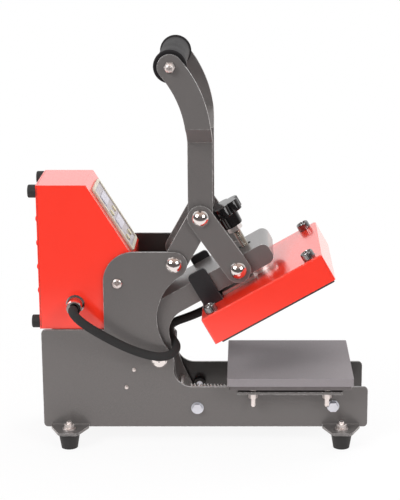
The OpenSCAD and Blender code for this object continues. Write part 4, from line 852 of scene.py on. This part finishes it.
def spring_points(props):
    """Middle line of the return spring: rear hook, coils, straight leg and front hook."""
    tail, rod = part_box("tail_bar"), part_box("front_rod")
    a = Vector(((tail[0].x + tail[1].x) / 2, 0, (tail[0].z + tail[1].z) / 2))
    b = Vector(((rod[0].x + rod[1].x) / 2, 0, (rod[0].z + rod[1].z) / 2))
    span = (b - a).length
    along = (b - a) / span
    up = Vector((-along.z, 0, along.x))
    half_wire = props.wire_diameter / 2
    rear_hook = (tail[1].z - tail[0].z) / 2 + half_wire + HOOK_GAP * MM
    front_hook = (rod[1].z - rod[0].z) / 2 + half_wire + HOOK_GAP * MM
    radius = props.coil_diameter / 2 - half_wire
    start = rear_hook + 3 * MM
    length = SPRING_PITCH * MM * props.turns
    steps = 16
    count = props.turns * steps
    line = hook(0, rear_hook, 200) + [(rear_hook + 1 * MM, 0, 0.8 * MM)]
    for i in range(count + 1):
        t = 2 * math.pi * i / steps
        ramp = min(1, i / 6, (count - i) / 6)
        line.append((start + length * i / count, radius * ramp * math.sin(t), radius * ramp * math.cos(t)))
    line += [(span - front_hook - 1 * MM, 0, 0.8 * MM)] + hook(span, front_hook, 150)
    return [a + along * x + up * z + Vector((0, y, 0)) for x, y, z in line]


class PRESS_OT_spring(bpy.types.Operator):
    """Winds the return spring between the tail bar and the front rod"""

    bl_idname = "heat_press.spring"
    bl_label = "Return spring"

    def execute(self, context):
        props = context.scene.press_spring
        spring = as_mesh(wire("return_spring_wire", spring_points(props), props.wire_diameter / 2))
        spring.data.materials.append(bpy.data.materials["spring_wire"])
        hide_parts("return_spring")
        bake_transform(spring)
        return {"FINISHED"}


def area_light(name, location, target, size, power, mirrored=True):
    """A soft square lamp aimed at a point; mirrored says whether shiny faces show it."""
    data = bpy.data.lights.new(name, "AREA")
    data.shape = "SQUARE"
    data.size = size
    data.energy = power
    lamp = linked(name, data)
    lamp.location = location
    lamp.rotation_euler = (Vector(target) - Vector(location)).to_track_quat("-Z", "Y").to_euler()
    lamp.visible_glossy = mirrored


def pale_material(name, shade_value, own_light):
    """White floor with a faint shadow; shiny faces show it white near the press and dark in front of it."""
    material = bpy.data.materials.new(name)
    material.use_nodes = True
    tree = material.node_tree
    tree.nodes.clear()
    out = tree.nodes.new("ShaderNodeOutputMaterial")
    body = tree.nodes.new("ShaderNodeBsdfDiffuse")
    body.inputs["Color"].default_value = (shade_value * 0.88, shade_value * 0.86, shade_value * 0.87, 1.0)
    path = tree.nodes.new("ShaderNodeLightPath")
    place = tree.nodes.new("ShaderNodeNewGeometry")
    ways = tree.nodes.new("ShaderNodeSeparateXYZ")
    tree.links.new(place.outputs["Position"], ways.inputs[0])
    near = (shade_value * 1.15, shade_value * 1.07, shade_value * 1.04)
    mirrored = mixed(tree, spread(tree, ways.outputs["Y"], -0.42, -0.72), near, DARK_FLOOR)
    tone = mixed(tree, path.outputs["Is Glossy Ray"], (shade_value,) * 3, mirrored)
    glow = tree.nodes.new("ShaderNodeEmission")
    tree.links.new(tone, glow.inputs["Color"])
    length = tree.nodes.new("ShaderNodeVectorMath")
    length.operation = "LENGTH"
    tree.links.new(place.outputs["Position"], length.inputs[0])
    far = spread(tree, length.outputs["Value"], 0.25, 0.8, own_light, 1.0)
    seen = maths(tree, "MAXIMUM", path.outputs["Is Camera Ray"], path.outputs["Is Glossy Ray"])
    surface = tree.nodes.new("ShaderNodeMixShader")
    tree.links.new(maths(tree, "MULTIPLY", seen, far), surface.inputs[0])
    tree.links.new(body.outputs[0], surface.inputs[1])
    tree.links.new(glow.outputs[0], surface.inputs[2])
    tree.links.new(surface.outputs[0], out.inputs["Surface"])
    return material


def studio_world(diffuse_light):
    """White background; shiny faces show a white wall behind, a dim room in front and a brown ceiling."""
    world = bpy.data.worlds.new("studio_world")
    world.use_nodes = True
    tree = world.node_tree
    back = tree.nodes["Background"]
    path = tree.nodes.new("ShaderNodeLightPath")
    ways = tree.nodes.new("ShaderNodeSeparateXYZ")
    tree.links.new(tree.nodes.new("ShaderNodeTexCoord").outputs["Generated"], ways.inputs[0])
    front = mixed(tree, spread(tree, ways.outputs["Z"], 0.3, 0.85), DIM_ROOM, BROWN_CEILING)
    room = mixed(tree, spread(tree, ways.outputs["Y"], -0.15, 0.35), front, WHITE)
    tree.links.new(mixed(tree, path.outputs["Is Glossy Ray"], WHITE, room), back.inputs["Color"])
    seen = maths(tree, "MAXIMUM", path.outputs["Is Camera Ray"], path.outputs["Is Glossy Ray"])
    seen = maths(tree, "MAXIMUM", seen, path.outputs["Is Transmission Ray"])
    tree.links.new(spread(tree, seen, 0.0, 1.0, diffuse_light, 1.0), back.inputs["Strength"])
    return world


class PRESS_OT_studio(bpy.types.Operator):
    """Builds the white floor, the soft lights and the camera"""

    bl_idname = "heat_press.studio"
    bl_label = "Studio"

    def execute(self, context):
        props = context.scene.press_studio
        scene = context.scene
        far = FLOOR_REACH
        floor = mesh_object("studio_floor", [(-far, -far, 0), (far, -far, 0), (far, far, 0), (-far, far, 0)],
                            [(0, 1, 2, 3)])
        floor.data.materials.append(pale_material("studio_white", props.floor_shade, 0.9))

        area_light("light_left", (-1.5, -1.4, 1.55), (0, 0, 0.2), 1.2, props.key_power)
        area_light("light_right", (1.35, -1.5, 1.3), (0, 0, 0.15), 1.0, props.fill_power)
        area_light("light_top", (0.1, 0.3, 2.2), (0, 0, 0.2), 1.6, props.fill_power * 1.3, False)
        area_light("light_back", (1.15, 1.2, 0.85), (0.1, 0, 0.08), 1.2, props.fill_power * 1.2, False)
        scene.world = studio_world(props.sky_light)

        data = bpy.data.cameras.new("camera")
        data.lens = props.lens
        data.sensor_width = 36.0
        data.shift_x = CAMERA_SHIFT
        camera = linked("camera", data)
        camera.location = CAMERA_PLACE
        camera.rotation_euler = (math.radians(CAMERA_TILT), 0, 0)
        scene.camera = camera
        scene.view_settings.view_transform = "Standard"
        return {"FINISHED"}


class PRESS_PT_panel(bpy.types.Panel):
    """Steps and settings of the heat press"""

    bl_idname = "PRESS_PT_panel"
    bl_label = "Heat Press"
    bl_space_type = "VIEW_3D"
    bl_region_type = "UI"
    bl_category = "Heat Press"

    def draw(self, context):
        scene = context.scene
        for group in (scene.press_finish, scene.press_spring, scene.press_studio):
            box = self.layout.box()
            for name in group.__annotations__:
                box.prop(group, name)
        for step in STEPS:
            self.layout.operator(step.bl_idname)


STEPS = (PRESS_OT_studio, PRESS_OT_finishes, PRESS_OT_cable, PRESS_OT_spring, PRESS_OT_hardware)
GROUPS = (("press_finish", PressFinish), ("press_spring", PressSpring), ("press_studio", PressStudio))


def register():
    for name, group in GROUPS:
        bpy.utils.register_class(group)
        setattr(bpy.types.Scene, name, bpy.props.PointerProperty(type=group))
    for step in (*STEPS, PRESS_PT_panel):
        bpy.utils.register_class(step)


def unregister():
    for step in reversed((*STEPS, PRESS_PT_panel)):
        bpy.utils.unregister_class(step)
    for name, group in reversed(GROUPS):
        delattr(bpy.types.Scene, name)
        bpy.utils.unregister_class(group)


def main():
    register()
    bpy.ops.heat_press.studio()
    bpy.ops.heat_press.finishes()
    bpy.ops.heat_press.cable()
    bpy.ops.heat_press.spring()
    bpy.ops.heat_press.hardware()


if __name__ == "__main__":
    main()
